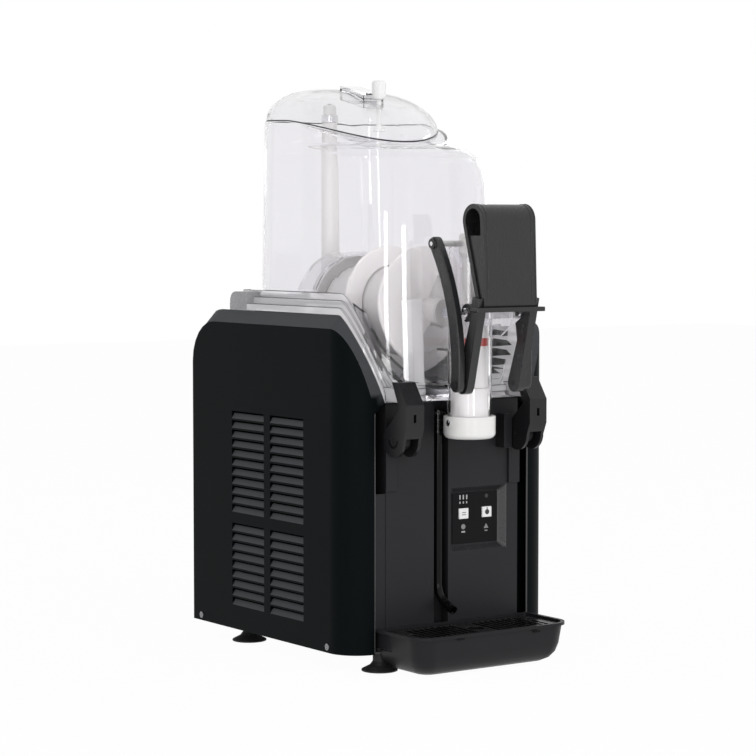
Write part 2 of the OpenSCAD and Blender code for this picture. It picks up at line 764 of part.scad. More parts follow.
module auger() color(white) from_front() difference() {
    hub_end = evaporator_front - scraper_gap;
    union() {
        sweep([for (i = [0:flight_steps]) flight_section(i)], [[0, 1, 2, 3]]);
        bar_y(hub_y, hub_end, hub_r, 0, axis_z);
    }
    bar_y(hub_y - cut, hub_end + cut, shaft_d / 2, 0, axis_z);
}

module front_bush() color(white) from_front() difference() {
    bar_y(bush_y, bush_y + bush_l, 15, 0, axis_z);
    bar_y(bush_y - cut, bush_y + bush_l + cut, shaft_d / 2 + running_gap, 0, axis_z);
}

// Bowl

ledge_z = axis_z + ledge_rise;
rim_z = axis_z + rim_rise;
lid_seat_z = rim_z - rim_dip;
// The rim's falling part is an arc that is level at its rear end
rim_run = rim_level - lid_front;
rim_r = (rim_run * rim_run + rim_dip * rim_dip) / (2 * rim_dip);
function rim_at(y) = y > rim_level ? rim_z
    : rim_z - rim_r + sqrt(rim_r * rim_r - pow(rim_level - max(y, lid_front), 2));

// Side view of the roof, the rear wall and the shelf, drawn in by an inset
function bowl_side(inset) = let (
        floor = axis_z - trough_outer + inset,
        shelf = ledge_z - bowl_wall + inset,
        wall = trough_rear - inset * 4 / bowl_wall)
    concat([[-20, floor], [-20, lid_seat_z - inset]],
        [for (i = [0:12]) let (y = lid_front + rim_run * i / 12) [y, rim_at(y) - inset]],
        [[bowl_rear - inset, rim_z - inset], [bowl_rear - inset, shelf], [wall, shelf], [wall, floor]]);

// Front line of the bowl as [depth, height]: leaning wall, rolled shoulder, roof up to the lid's seat
roll_end = 80;
roll_steps = 8;
function bowl_line(inset) = let (
        c = [bowl_front + bowl_lean + shoulder_r, lid_seat_z - 4 - shoulder_r],
        foot_z = axis_z - trough_outer - 2,
        knee_z = ledge_z - 6,
        knee_y = bowl_front + bowl_lean * (knee_z - foot_z) / (c.y - foot_z))
    concat([[lid_front + 4 + inset, rim_z + 2], [lid_front - 10 + inset, lid_seat_z - 0.4 - inset]],
        arc(c, shoulder_r - inset, 180 - roll_end, 180, roll_steps),
        [[knee_y + inset, knee_z], [bowl_front + inset, foot_z]]);

// Outline of the bowl at one height of its front line; the side walls lean in above the ledge
function bowl_level(p, inset) = let (
        lean = bowl_taper * max(0, p.y - ledge_z + 6) / (rim_z - ledge_z + 6),
        outline = plan(bowl_w / 2 - inset - lean, p.x, bowl_rear - inset,
            bowl_front_r - inset, bowl_rear_r - inset))
    [for (q = outline) [q.x, q.y, p.y]];

// What is cut away under the ledge: outside the round trough, and below the ledge's falling inner line
function outside_trough(inset) = let (
        r = trough_outer - inset,
        slope = (ledge_rise - 6) / (bowl_w / 2 - trough_outer),
        reach = bowl_w / 2 + 20,
        top = axis_z + slope * (reach - r))
    concat([[-reach, top]], arc([0, axis_z], r, 180, 360, 32),
        [[reach, top], [reach, axis_z - bowl_w], [-reach, axis_z - bowl_w]]);
function below_ledge(inset) = concat(
    [[-10, ledge_z - ledge_fall_at(90) - bowl_wall + inset]],
    [for (i = [0:12]) let (a = 90 - 90 * i / 12)
        [bowl_front + bowl_front_r * (1 - sin(a)), ledge_z - ledge_fall_at(a) - bowl_wall + inset]],
    [[body_d, ledge_z - bowl_wall + inset], [body_d, axis_z - bowl_w], [-10, axis_z - bowl_w]]);

module bowl_solid(inset) difference() {
    intersection() {
        sweep([for (p = bowl_line(inset)) bowl_level(p, inset)], [[for (i = [0:43]) i]]);
        along_x(-bowl_w, bowl_w) polygon(bowl_side(inset));
    }
    intersection() {
        along_y(-20, bowl_rear + 20) polygon(outside_trough(inset));
        along_x(-bowl_w, bowl_w) polygon(below_ledge(inset));
    }
}

// Ledge round the bowl in three steps, which lies on the side panels' bevels and follows their fall
ledge_fall = 66;
ledge_seat = 0.3;
ledge_rear_y = bowl_rear - 6;
ledge_steps = 14;
ledge_drop = ledge_z - front_top - 20;

function ledge_station(outer, inner) = let (
        rise = inner.z - outer.z,
        across = function(f, h) [outer.x + (inner.x - outer.x) * f,
            outer.y + (inner.y - outer.y) * f, outer.z + rise * h])
    [across(1, 0.3), across(0, 0), across(0, 1 / 3), across(0.26, 1 / 3), across(0.26, 2 / 3),
        across(0.52, 2 / 3), across(0.52, 1), across(0.8, 1), across(1, 0.75)];
bowl_bite = bowl_wall + 4;
function ledge_fall_at(a) = ledge_drop * (1 - cos(180 * min(1, a / ledge_fall))) / 2;
function ledge_inner(a, z) = [bowl_front_r - bowl_w / 2 - (bowl_front_r - bowl_bite) * cos(a),
    bowl_front + bowl_front_r - (bowl_front_r - bowl_bite) * sin(a), z];
// Station where a share of the fall is done, on the outer and on the inner line alike
function ledge_corner(share) = let (a = 90 * pow(share, 1 / band_bend)) ledge_station(
    [bevel_w - half_w + corner_r * (1 - cos(a)), corner_r * (1 - sin(a)), band_z(a) + ledge_seat],
    ledge_inner(ledge_fall / 180 * acos(1 - 2 * share), ledge_z - ledge_drop * share));
function ledge_side(y) = ledge_station(
    [bevel_w - half_w, y, body_h + bevel_h + ledge_seat],
    [bowl_bite - bowl_w / 2, y, ledge_z]);
// Station on the level front part, from the corner's end to near the centre plane
function ledge_front(share) = ledge_station(
    [(bevel_w + corner_r - half_w) * (1 - 0.8 * share), 0, band_end + ledge_seat],
    ledge_inner(ledge_fall + (90 - ledge_fall) * share, ledge_z - ledge_drop));
ledge_half = concat([ledge_side(ledge_rear_y), ledge_side(bowl_front + bowl_front_r + 14)],
    [for (i = [0:ledge_steps]) ledge_corner((1 - cos(180 * i / ledge_steps)) / 2)],
    [for (i = [1:4]) ledge_front(i / 4)]);
function flip(s) = [for (p = s) [-p.x, p.y, p.z]];

module bowl_ledge()
    sweep(concat(ledge_half, [for (i = [len(ledge_half) - 1:-1:0]) flip(ledge_half[i])]),
        [[0, 1, 2, 3, 4, 5, 6, 7, 8]]);

// Arched tunnel in the rear of the bowl for the cold cylinder's flange
tunnel_rear = bulkhead_y + bulkhead_t + 18;

module tunnel(r, y0, y1) {
    bar_y(y0, y1, r, 0, axis_z);
    box(-r, r, y0, y1, axis_z - trough_outer, axis_z);
}

// Tap tube with its throat, forward bracket and pivot studs
tap_y = -tap_reach;
tube_r = tube_d / 2;
tube_inner = tube_r - tube_wall;
pin_z = axis_z + pin_rise;
tube_top = pin_z + 2;
spout_z = axis_z - spout_drop;
tube_bottom = spout_z + 6;
pivot = [-pivot_reach, axis_z + pivot_rise];
throat_z = [axis_z - 69, axis_z - 38];
throat_half = 14;
stud_x = fork_w / 2 + arm_t + 3;
bracket_half = fork_w / 2 - 3;

module tap_solid() {
    bar_z(tube_bottom, tube_top, tube_r, 0, tap_y);
    box(-throat_half - bowl_wall, throat_half + bowl_wall, tap_y, bowl_front + bowl_lean,
        throat_z[0] - bowl_wall, throat_z[1] + bowl_wall);
    // Bracket that reaches forward to the lever's pivot
    along_x(-bracket_half, bracket_half)
        polygon([[tap_y - tube_inner, pivot.y - 26], [tap_y - tube_inner, pivot.y + 8],
            [pivot.x - 7, pivot.y + 6], [pivot.x - 7, pivot.y - 6]]);
    bar_x(-stud_x, stud_x, stud_d / 2, pivot.x, pivot.y);
}

// Front lugs that the latches hook over
latch_pivot = [-latch_pivot_reach, front_top - latch_pivot_drop];
lug_half = latch_w / 2 - 5;
lug_front = latch_pivot.x - 6;
lug_top = latch_pivot.y + hook_rise - 2;

module latch_lug(x) box(x - lug_half, x + lug_half, lug_front, bowl_front + 30, band_end + 2, lug_top);

// Space inside the bowl, with the hump over the drive and the boss behind the front wall left standing
module bowl_cavity() difference() {
    bowl_solid(bowl_wall);
    tunnel(tunnel_r + bowl_wall, trough_rear - 4, tunnel_rear + bowl_wall);
    bar_y(bowl_front, bush_y, 17, 0, axis_z);
}

module bowl() color(clear) from_front() difference() {
    opening_half = bowl_w / 2 - bowl_taper - opening_margin;
    union() {
        bowl_solid(0);
        bowl_ledge();
        tap_solid();
        for (x = [-latch_x, latch_x]) latch_lug(x);
    }
    bowl_cavity();
    tunnel(tunnel_r, trough_rear, tunnel_rear);
    bar_y(trough_rear - 5, trough_rear + cut, evaporator_r + slide_gap, 0, axis_z);
    // Opening under the lid
    along_z(lid_seat_z - 20, rim_z + cut) polygon(plan(opening_half, lid_front + opening_margin,
        bowl_rear - opening_margin, opening_half - 2, bowl_rear_r - opening_margin));
    bar_z(tube_bottom - cut, tube_top + cut, tube_inner, 0, tap_y);
    box(-throat_half, throat_half, tap_y, bowl_front + bowl_lean + cut, throat_z[0], throat_z[1]);
    // Slots for the piston's cross pin
    box(-tube_r - cut, tube_r + cut, tap_y - pin_d / 2 - 1, tap_y + pin_d / 2 + 1,
        pin_z - pin_d / 2 - 1, tube_top + cut);
    // Hollow of the bracket between its side walls
    along_x(-bracket_half + bowl_wall, bracket_half - bowl_wall)
        polygon([[tap_y - tube_r, pivot.y - 30], [tap_y - tube_r, pivot.y + 4],
            [pivot.x + 6, pivot.y + 3], [pivot.x + 6, pivot.y - 30]]);
}

// Lamp post in the rear of the bowl
post_y = bowl_rear - 22;
post_r = 8.3;
post_top = rim_z + 2;

module light_post() color(white) from_front() bar_z(ledge_z, post_top, post_r, 0, post_y);
module post_ring() color(steel) from_front() bar_z(post_top, post_top + 8, post_r + 1, 0, post_y);
module post_cap() color(white) from_front() translate([0, post_y, post_top + 8]) rotate_extrude()
    polygon(concat([[0, 0], [post_r - 1, 0]], arc([post_r - 5, 9], 4, 0, 90, 6), [[0, 13]]));

// Lid

lid_half = bowl_w / 2 - bowl_taper;
lid_rear = bowl_rear - 3;
lid_mid = bowl_rear - 53;
dome_rings = 8;
dome_power = 3.2;
dome_root = 1 / 2.2;

// Ring of the dome: share of the rim's size, with the height of the surface above it
function dome_height(y, h) = h * (1 - 0.3 * max(0, lid_mid - y) / (lid_mid - lid_front));
function dome_ring(inset, h, share) = [for (p = plan(lid_half - inset, lid_front + inset, lid_rear - inset,
        lid_half - inset - 2, bowl_rear_r - inset))
    let (y = lid_mid + (p.y - lid_mid) * share)
    [p.x * share, y, rim_at(y) + lid_gap
        + dome_height(y, h) * pow(1 - pow(share, dome_power), dome_root)]];
// Shares get closer towards the rim, where the dome is steep
function dome_share(i) = sin(90 * i / dome_rings);
function dome_top(h) = [0, lid_mid, rim_at(lid_mid) + lid_gap + dome_height(lid_mid, h)];

module dome_shell() {
    count = len(dome_ring(0, dome_h, 1));
    rings = dome_rings;
    outer = [for (i = [rings:-1:1]) each dome_ring(0, dome_h, dome_share(i))];
    inner = [for (i = [rings:-1:1]) each dome_ring(lid_wall, dome_h - lid_wall, dome_share(i))];
    inner_start = len(outer) + 1;
    points = concat(outer, [dome_top(dome_h)], inner, [dome_top(dome_h - lid_wall)]);
    top = len(outer);
    inner_top = len(points) - 1;
    outer_faces = [for (i = [0:rings - 2], j = [0:count - 1])
        let (k = (j + 1) % count, a = i * count, b = a + count)
        each [[a + j, b + k, a + k], [a + j, b + j, b + k]]];
    inner_faces = [for (f = outer_faces) [f[2] + inner_start, f[1] + inner_start, f[0] + inner_start]];
    last = (rings - 1) * count;
    caps = [for (j = [0:count - 1]) let (k = (j + 1) % count)
        each [[last + j, top, last + k], [inner_start + last + k, inner_top, inner_start + last + j]]];
    rim = [for (j = [0:count - 1]) let (k = (j + 1) % count)
        each [[j, k, inner_start + k], [j, inner_start + k, inner_start + j]]];
    polyhedron(points, concat(outer_faces, inner_faces, caps, rim));
}

// Height of the dome on the centre plane in front of its top
function dome_z(y) = rim_at(y) + lid_gap
    + dome_height(y, dome_h) * pow(1 - pow((lid_mid - y) / (lid_mid - lid_front), dome_power), dome_root);
knob_z = dome_z(knob_y + knob_d / 2) + 0.4;
stem_r = 3;
stem_l = 34;

// Raised box behind the knob, open into the dome
hump = [knob_y + knob_d / 2 + 3, knob_y + knob_d / 2 + 47];
hump_half = 13;

module hump_profile(inset) polygon([
    [hump[0] + inset, dome_z(hump[0]) - 10], [hump[0] + inset, dome_z(hump[0]) + 7 - inset],
    [hump[1] - inset, dome_z(hump[1]) + 4 - inset], [hump[1] - inset, dome_z(hump[1]) - 10]]);

module lid() color(clear) from_front() difference() {
    union() {
        dome_shell();
        difference() {
            along_x(-hump_half, hump_half) hump_profile(0);
            along_x(lid_wall - hump_half, hump_half - lid_wall) hump_profile(lid_wall);
        }
    }
    bar_z(knob_z - stem_l, knob_z + 20, stem_r + 0.3, 0, knob_y);
}

module lid_knob() color(white) from_front() translate([0, knob_y, knob_z]) rotate_extrude() polygon(concat(
    [[0, -stem_l], [stem_r + 3, -stem_l], [stem_r + 3, 4 - stem_l],
        [stem_r - 0.2, 6 - stem_l], [stem_r - 0.2, 0],
        [knob_d / 2 - 1, 0], [knob_d / 2, 2]],
    arc([knob_d / 2 - 3, knob_h - 3], 3, 0, 90, 6), [[0, knob_h]]));

// Tap

piston_bottom = throat_z[0] - 5;
piston_gap = 0.7;
seal_z = [axis_z - 32, axis_z - 24];
piston_r = tube_inner - piston_gap;
head_z = [pin_z - 9, pin_z + 10];

module spout_collar() color(white) from_front() translate([0, tap_y, 0]) rotate_extrude() difference() {
    r = collar_d / 2;
    sleeve_r = tube_inner - 0.1;
    union() {
        polygon(concat([[0, spout_z]], arc([r - 6, spout_z + 6], 6, 270, 360, 6),
            [[r, spout_z + collar_h], [0, spout_z + collar_h]]));
        translate([0, spout_z]) square([sleeve_r, piston_bottom - slide_gap - spout_z]);
    }
    translate([0, spout_z - cut]) square([sleeve_r - tube_wall, piston_bottom - spout_z + 2 * cut]);
    translate([sleeve_r, tube_bottom]) square([tube_wall + 0.2, collar_h]);
}

module piston() color(white) from_front() difference() {
    stem = 8;
    head = 11;
    groove = 3;
    translate([0, tap_y, 0]) rotate_extrude() polygon([[0, piston_bottom], [piston_r, piston_bottom],
        [piston_r, seal_z[0]], [piston_r - groove, seal_z[0]],
        [piston_r - groove, seal_z[1]], [piston_r, seal_z[1]],
        [piston_r, seal_z[1] + 12], [stem, seal_z[1] + 22], [stem, head_z[0] - 6], [head, head_z[0]],
        [head, head_z[1] - 2], [head - 2, head_z[1]], [0, head_z[1]]]);
    bar_x(-2 * head, 2 * head, pin_d / 2, tap_y, pin_z);
}

module piston_seal() color(red) from_front() translate([0, tap_y, 0]) rotate_extrude()
    polygon([[piston_r - 3, seal_z[0]], [tube_inner - 0.35, seal_z[0]],
        [tube_inner - 0.35, seal_z[1]], [piston_r - 3, seal_z[1]]]);

fork_outer = fork_w / 2 + arm_t;
rod_x = [fork_outer + 1, fork_outer + 1 + rod_t];
link_low = [pivot.x + link_offset, pivot.y - link_drop];
pin_top = [tap_y, pin_z];

module piston_pin() color(steel) from_front() {
    head_r = pin_d / 2 + 2;
    bar_x(-rod_x[1] - 1, rod_x[1] + 1, pin_d / 2, pin_top.x, pin_top.y);
    for (s = [-1, 1]) let (x = s * (rod_x[1] + 1.5)) bar_x(x - 0.7, x + 0.7, head_r, pin_top.x, pin_top.y);
}

// Side view of the rolled strap: wide round top that narrows to the arms
grip_top = [grip_front + grip_r + 5, pivot.y + grip_rise - grip_r];
grip_foot = [grip_front + 8, pivot.y + 9];

module strap_outline(inset) hull() {
    translate(grip_top) circle(grip_r - inset, $fn = 48);
    translate(grip_foot + [0, inset]) circle(6 - inset, $fn = 32);
}

module lever_arm(x) {
    boss_r = 9;
    clip_r = stud_d / 2 + 4;
    along_x(x, x + arm_t) difference() {
        union() {
            polygon([[grip_front + 3, pivot.y + 14], [grip_front + 16, pivot.y + 16],
                [grip_front + 20, pivot.y - 8],
                link_low + [boss_r, 2], link_low + [-boss_r, -2]]);
            translate(link_low) circle(boss_r);
            translate(pivot) circle(clip_r);
        }
        translate(pivot) circle(stud_d / 2 + running_gap);
        // Snap-in mouth of the clip
        translate(pivot) rotate(-35) translate([0, -stud_d * 0.38]) square([clip_r + 1, stud_d * 0.76]);
        translate(link_low) circle(pin_d / 2);
    }
}

module lever() color(dark_grey) from_front() {
    along_x(-grip_w / 2, grip_w / 2) difference() {
        strap_outline(0);
        strap_outline(strap_t);
    }
    // Lip along the strap's foot
    box(-grip_w / 2 - 10, grip_w / 2 + 10, grip_front, grip_front + 13, pivot.y + 1, pivot.y + 5.5);
    for (x = [-fork_outer, fork_w / 2]) lever_arm(x);
}

module link_pin() {
    head_r = pin_d / 2 + 1.5;
    bar_x(fork_w / 2, rod_x[1] + 1, pin_d / 2, link_low.x, link_low.y);
    bar_x(rod_x[1] + 0.4, rod_x[1] + 1.6, head_r, link_low.x, link_low.y);
}
module link_pin_left() color(steel) from_front() mirrored() link_pin();
module link_pin_right() color(steel) from_front() link_pin();

// Side view of a rod, bowed forwards between its eyes
function cap(c, r, a0, a1, n) = [for (i = [1:n - 1]) let (a = a0 + (a1 - a0) * i / n)
    [c.x + r * cos(a), c.y + r * sin(a)]];
rod_chord = norm(pin_top - link_low);
rod_r = rod_chord * rod_chord / (8 * rod_bow) + rod_bow / 2;
rod_along = (pin_top - link_low) / rod_chord;
rod_centre = (pin_top + link_low) / 2 + (rod_r - rod_bow) * [rod_along.y, -rod_along.x];
rod_half = asin(rod_chord / (2 * rod_r));
rod_mid = atan2(rod_along.x, -rod_along.y);
rod_from = rod_mid + rod_half;
rod_to = rod_mid - rod_half;

module rod() difference() {
    along_x(rod_x[0], rod_x[1]) polygon(concat(
        arc(rod_centre, rod_r + rod_w / 2, rod_from, rod_to, 16),
        cap(pin_top, rod_w / 2, rod_to, rod_to - 180, 12),
        arc(rod_centre, rod_r - rod_w / 2, rod_to, rod_from, 16),
        cap(link_low, rod_w / 2, rod_from + 180, rod_from, 12)));
    bar_x(rod_x[0] - cut, rod_x[1] + cut, pin_d / 2 + running_gap, link_low.x, link_low.y);
    bar_x(rod_x[0] - cut, rod_x[1] + cut, pin_d / 2 + link_gap, pin_top.x, pin_top.y);
}
module rod_left() color(dark_grey) from_front() mirrored() rod();
module rod_right() color(dark_grey) from_front() rod();

// Latches

cheek_t = 3.5;
latch_wall = 4;
latch_pin_r = 3;
ear_half = 4;

module latch_bracket(x) difference() {
    pad_h = 36;
    ear_r = 9;
    housing_reach = 14;
    near = latch_w / 2 + 1;
    far = near + 10;
    housing = x > 0 ? [x - far, x - near] : [x + near, x + far];
    union() {
        box(x - 7, x + 7, -2.5, 0, latch_pivot.y - 17 - pad_h, latch_pivot.y + ear_r);
        // Housing of the latch's spring on the inner side, on a plate behind the cheek
        box(housing[0], housing[1], -housing_reach, 0, latch_pivot.y - 15, latch_pivot.y + 20);
        box(min(x, housing[0]), max(x, housing[1]), -2.5, 0, latch_pivot.y - ear_r, latch_pivot.y + ear_r);
        along_x(x - ear_half, x + ear_half)
            polygon(concat(arc(latch_pivot, ear_r, 90, 270, 16),
                [[0, latch_pivot.y - ear_r], [0, latch_pivot.y + ear_r]]));
    }
    bar_x(x - ear_half - cut, x + ear_half + cut, latch_pin_r, latch_pivot.x, latch_pivot.y);
}
module latch_bracket_left() color(dark_grey) from_front() latch_bracket(-latch_x);
module latch_bracket_right() color(dark_grey) from_front() latch_bracket(latch_x);

// Side view of a latch: round foot on the pivot, upright front and a hook that leans back over the lug
hook_top = latch_pivot.y + hook_rise + 4.5;
hook_slope = [[latch_pivot.x - 7, hook_top], [-latch_reach, hook_top - 22]];
hook_way = (hook_slope[1] - hook_slope[0]) / norm(hook_slope[1] - hook_slope[0]);
hook_inward = latch_wall * [-hook_way.y, hook_way.x];
module latch_outline()
    polygon(concat(arc(latch_pivot, latch_foot_r, 180, 420, 24),
        [[latch_pivot.x - 4, latch_pivot.y + 26], [latch_pivot.x - 10, latch_pivot.y + 32],
            [latch_pivot.x + 2.5, hook_top]],
        hook_slope, [[-latch_reach, latch_pivot.y + 12]]));

module latch(x) difference() {
    along_x(x - latch_w / 2, x + latch_w / 2) latch_outline();
    // Room for the ear and for the bowl's lug between the cheeks
    along_x(x - latch_w / 2 + cheek_t, x + latch_w / 2 - cheek_t) difference() {
        polygon(concat(arc(latch_pivot, hook_rise, 90, 270, 36),
            [latch_pivot + [hook_rise, -hook_rise], latch_pivot + [hook_rise, hook_rise]]));
        translate([-2 * latch_reach, latch_pivot.y - hook_rise])
            square([latch_reach + latch_wall, 2 * hook_rise]);
        polygon(concat(hook_slope, [hook_slope[1] + hook_inward, hook_slope[0] + hook_inward]));
    }
    bar_x(x - latch_w, x + latch_w, latch_pin_r + running_gap, latch_pivot.x, latch_pivot.y);
    // Finger slot in the front wall
    box(x - 1.6, x + 1.6, -latch_reach - cut, -latch_reach + latch_wall + cut,
        latch_pivot.y + 19, latch_pivot.y + 27);
}
module latch_left() color(dark_grey) from_front() latch(-latch_x);
module latch_right() color(dark_grey) from_front() latch(latch_x);

module latch_pin(x)
    bar_x(x - latch_w / 2 + 0.5, x + latch_w / 2 - 0.5, latch_pin_r, latch_pivot.x, latch_pivot.y);
module latch_pin_left() color(steel) from_front() latch_pin(-latch_x);
module latch_pin_right() color(steel) from_front() latch_pin(latch_x);

// Drain

hose_r = 4.5;
hose_y = groove_depth - hose_r - 2;
fitting_z = [front_top - 32, front_top - 8];
bend_r = 22;
bend_angle = 68;
hose_bend_z = tray_top + 40;

module drain_fitting() color(black) from_front() {
    rib = 6;
    translate([groove_x, hose_y, fitting_z[0]]) rotate_extrude() polygon(concat([[0, 0], [hose_r + 1.5, 0]],
        [for (i = [0:3]) each [[hose_r + 1.5, rib * i + 3], [hose_r + 0.2, rib * i + 3.5],
            [hose_r + 0.2, rib * i + 5.5], [hose_r + 1.5, rib * i + rib]]], [[0, 4 * rib]]));
    // Plate that holds the fitting in the groove
    box(groove_x - groove_w / 2, groove_x + groove_w / 2, 2, groove_depth,
        fitting_z[1] - 5, fitting_z[1] - 2);
}

hose_sides = 24;
hose_end = 14;
hose_path = concat([[hose_y, fitting_z[0], 0]],
    [for (i = [0:10]) let (a = bend_angle * i / 10)
        [hose_y - bend_r * (1 - cos(a)), hose_bend_z - bend_r * sin(a), a]],
    [[hose_y - bend_r * (1 - cos(bend_angle)) - hose_end * sin(bend_angle),
        hose_bend_z - bend_r * sin(bend_angle) - hose_end * cos(bend_angle), bend_angle]]);
function hose_ring(p) = [for (i = [0:hose_sides - 1]) let (t = 360 * i / hose_sides)
    [groove_x + hose_r * sin(t), p[0] + hose_r * cos(t) * cos(p[2]), p[1] - hose_r * cos(t) * sin(p[2])]];

module drain_hose() color(black) from_front() difference() {
    sweep([for (p = hose_path) hose_ring(p)], [[for (i = [0:hose_sides - 1]) i]]);
    end = hose_path[len(hose_path) - 1];
    translate([groove_x, end[0], end[1]]) rotate([-bend_angle, 0, 0])
        translate([0, 0, -cut]) cylinder(r = hose_r - 1.5, h = hose_end / 2 + cut);
}

// Drip tray

tray_half = front_w / 2 + tray_side;
tray_rear = -slide_gap;
arm_z = [tray_top - 5 - arm_h, tray_top - 5];
arm_x = [front_w / 2 + 1.5, front_w / 2 + 1.5 + arm_w];

module tray_arm() box(arm_x[0], arm_x[1], -arm_reach, front_depth, arm_z[0], arm_z[1]);
module tray_arm_left() color(black) from_front() mirrored() tray_arm();
module tray_arm_right() color(black) from_front() tray_arm();

// Levels of the tray's hull: height above the underside, inset of the round plan and of the rear
tray_levels = [[0, tray_taper + 16, 8], [3.5, tray_taper + 9, 4], [9.5, tray_taper + 4, 0],
    [18.5, tray_taper + 1, 0]];
module tray_level(z, inset, rear) translate([0, 0, z]) linear_extrude(0.01)
    polygon(plan(tray_half - inset, inset - tray_reach, rear, tray_corner - inset / 2, 2, 6));

module tray_body(wall) hull() {
    for (v = tray_levels)
        tray_level(tray_bottom + v[0] + wall * max(0, 1 - v[0] / 20), v[1] + wall, tray_rear - v[2] - wall);
    tray_level(tray_top + (wall > 0 ? cut : 0) - 0.01, wall + 2, tray_rear - wall);
}

grille_z = tray_top - 2.6 - grille_t;
grille_inset = tray_wall + 1.6;
pocket_x = arm_x[0] - slide_gap;
pocket_wall = 1.6;

// Pocket in a rear corner of the tray for its carrying arm
module tray_pocket(grow) for (s = [-1, 1]) {
    x = [pocket_x - grow, tray_half + cut + grow];
    box(s > 0 ? x[0] : -x[1], s > 0 ? x[1] : -x[0], -arm_reach - slide_gap - grow, cut,
        arm_z[0] - slide_gap - grow, arm_z[1] + slide_gap + grow);
}

module drip_tray() color(dark_grey) from_front() difference() {
    union() {
        tray_body(0);
        along_z(tray_top - 3, tray_top) polygon(plan(tray_half, -tray_reach, tray_rear, tray_corner, 2));
    }
    difference() {
        union() {
            tray_body(tray_wall);
            along_z(grille_z, tray_top + cut) polygon(plan(tray_half - grille_inset,
                grille_inset - tray_reach, tray_rear - grille_inset, tray_corner - grille_inset, 2));
        }
        tray_pocket(pocket_wall);
    }
    tray_pocket(0);
}

module drip_grille() color(black) from_front() difference() {
    margin = grille_inset + slide_gap;
    band = 6;
    half = tray_half - margin;
    front = margin - tray_reach;
    rear = tray_rear - margin;
    slots = floor((half - band - 8) / slot_pitch);
    finger = 9;
    along_z(grille_z, grille_z + grille_t) polygon(plan(half, front, rear, tray_corner - margin, 2));
    for (i = [-slots:slots]) if (abs(i * slot_pitch) > finger + slot_w)
        box(i * slot_pitch - slot_w / 2, i * slot_pitch + slot_w / 2,
            front + band + (abs(i) > slots - 3 ? 6 : 0),
            rear - band - (abs(i) > slots - 1 ? arm_reach : 0), grille_z - cut, grille_z + grille_t + cut);
    // Finger hole in the middle
    bar_z(grille_z - cut, grille_z + grille_t + cut, finger, 0, (front + rear) / 2);
    for (s = [-1, 1]) {
        x = [pocket_x - pocket_wall - slide_gap, tray_half];
        box(s > 0 ? x[0] : -x[1], s > 0 ? x[1] : -x[0], -arm_reach - pocket_wall - 2 * slide_gap, 0,
            grille_z - cut, grille_z + grille_t + cut);
    }
}

base_pan();
foot_front_left();
foot_front_right();
foot_rear_left();
foot_rear_right();
left_side_panel();
right_side_panel();
panel_screws();
front_frame();
front_panel();
rear_panel();
cable_gland();
mid_bulkhead();
deck();
rear_cover();
compressor();
condenser();
fan_shroud();
fan_motor();
fan();
gearmotor();
control_board();
control_plate();
button_left();
button_right();
evaporator();
shaft_seal();
bowl_gasket();
drive_shaft();
auger();
front_bush();
bowl();
light_post();
post_ring();
post_cap();
lid();
lid_knob();
spout_collar();
piston();
piston_seal();
piston_pin();
lever();
link_pin_left();
link_pin_right();
rod_left();
rod_right();
latch_bracket_left();
latch_bracket_right();
latch_left();
latch_right();
latch_pin_left();
latch_pin_right();
drain_fitting();
drain_hose();
tray_arm_left();
tray_arm_right();
drip_tray();
drip_grille();
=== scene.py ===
# %% [markdown]
# # A counter-top slush machine
# The machine is a black sheet-metal body with a clear bowl on top. In the bowl a white spiral turns round a
# cold cylinder, and a lever tap in front lets the drink out over a drip tray. The solid model is loaded first
# as a fixed frame. Every piece made here sits in the same frame, in metres, so it goes where the solid model
# says.

# %% load the frame
import json
import math

import bmesh
import bpy
from mathutils import Matrix, Vector

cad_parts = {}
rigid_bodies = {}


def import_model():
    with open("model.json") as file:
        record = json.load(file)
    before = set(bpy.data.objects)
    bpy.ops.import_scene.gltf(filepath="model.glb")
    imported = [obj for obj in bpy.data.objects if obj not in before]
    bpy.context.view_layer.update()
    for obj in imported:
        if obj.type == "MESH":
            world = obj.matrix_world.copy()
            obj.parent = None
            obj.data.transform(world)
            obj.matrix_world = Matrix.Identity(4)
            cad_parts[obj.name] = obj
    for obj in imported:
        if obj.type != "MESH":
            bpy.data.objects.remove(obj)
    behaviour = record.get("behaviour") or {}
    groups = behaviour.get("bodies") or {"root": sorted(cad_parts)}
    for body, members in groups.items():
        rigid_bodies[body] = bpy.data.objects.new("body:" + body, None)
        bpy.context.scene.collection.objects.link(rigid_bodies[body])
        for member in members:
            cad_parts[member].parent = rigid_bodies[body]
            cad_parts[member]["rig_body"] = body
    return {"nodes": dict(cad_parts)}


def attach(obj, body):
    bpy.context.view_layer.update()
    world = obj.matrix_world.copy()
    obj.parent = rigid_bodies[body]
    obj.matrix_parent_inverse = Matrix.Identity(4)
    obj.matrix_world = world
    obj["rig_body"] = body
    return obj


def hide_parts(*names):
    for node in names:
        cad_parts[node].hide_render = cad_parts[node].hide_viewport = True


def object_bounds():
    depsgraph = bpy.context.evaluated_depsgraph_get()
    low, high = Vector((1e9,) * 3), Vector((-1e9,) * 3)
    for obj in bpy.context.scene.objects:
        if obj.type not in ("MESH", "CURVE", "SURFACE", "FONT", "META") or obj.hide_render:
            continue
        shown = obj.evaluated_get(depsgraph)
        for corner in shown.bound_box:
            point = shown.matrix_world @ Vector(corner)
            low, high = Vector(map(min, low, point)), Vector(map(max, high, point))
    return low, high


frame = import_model()
nodes = frame["nodes"]
cad_low, cad_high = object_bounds()
scene = bpy.context.scene
print("nodes", len(nodes), "box", [round(v, 4) for v in cad_high - cad_low])

# %% [markdown]
# The camera looks from the front left, a little downwards, through a long lens, as for a catalogue picture.
# A long lens keeps the upright edges nearly parallel. The place and the turn are plain numbers, because a
# camera that is fitted once needs no helper.

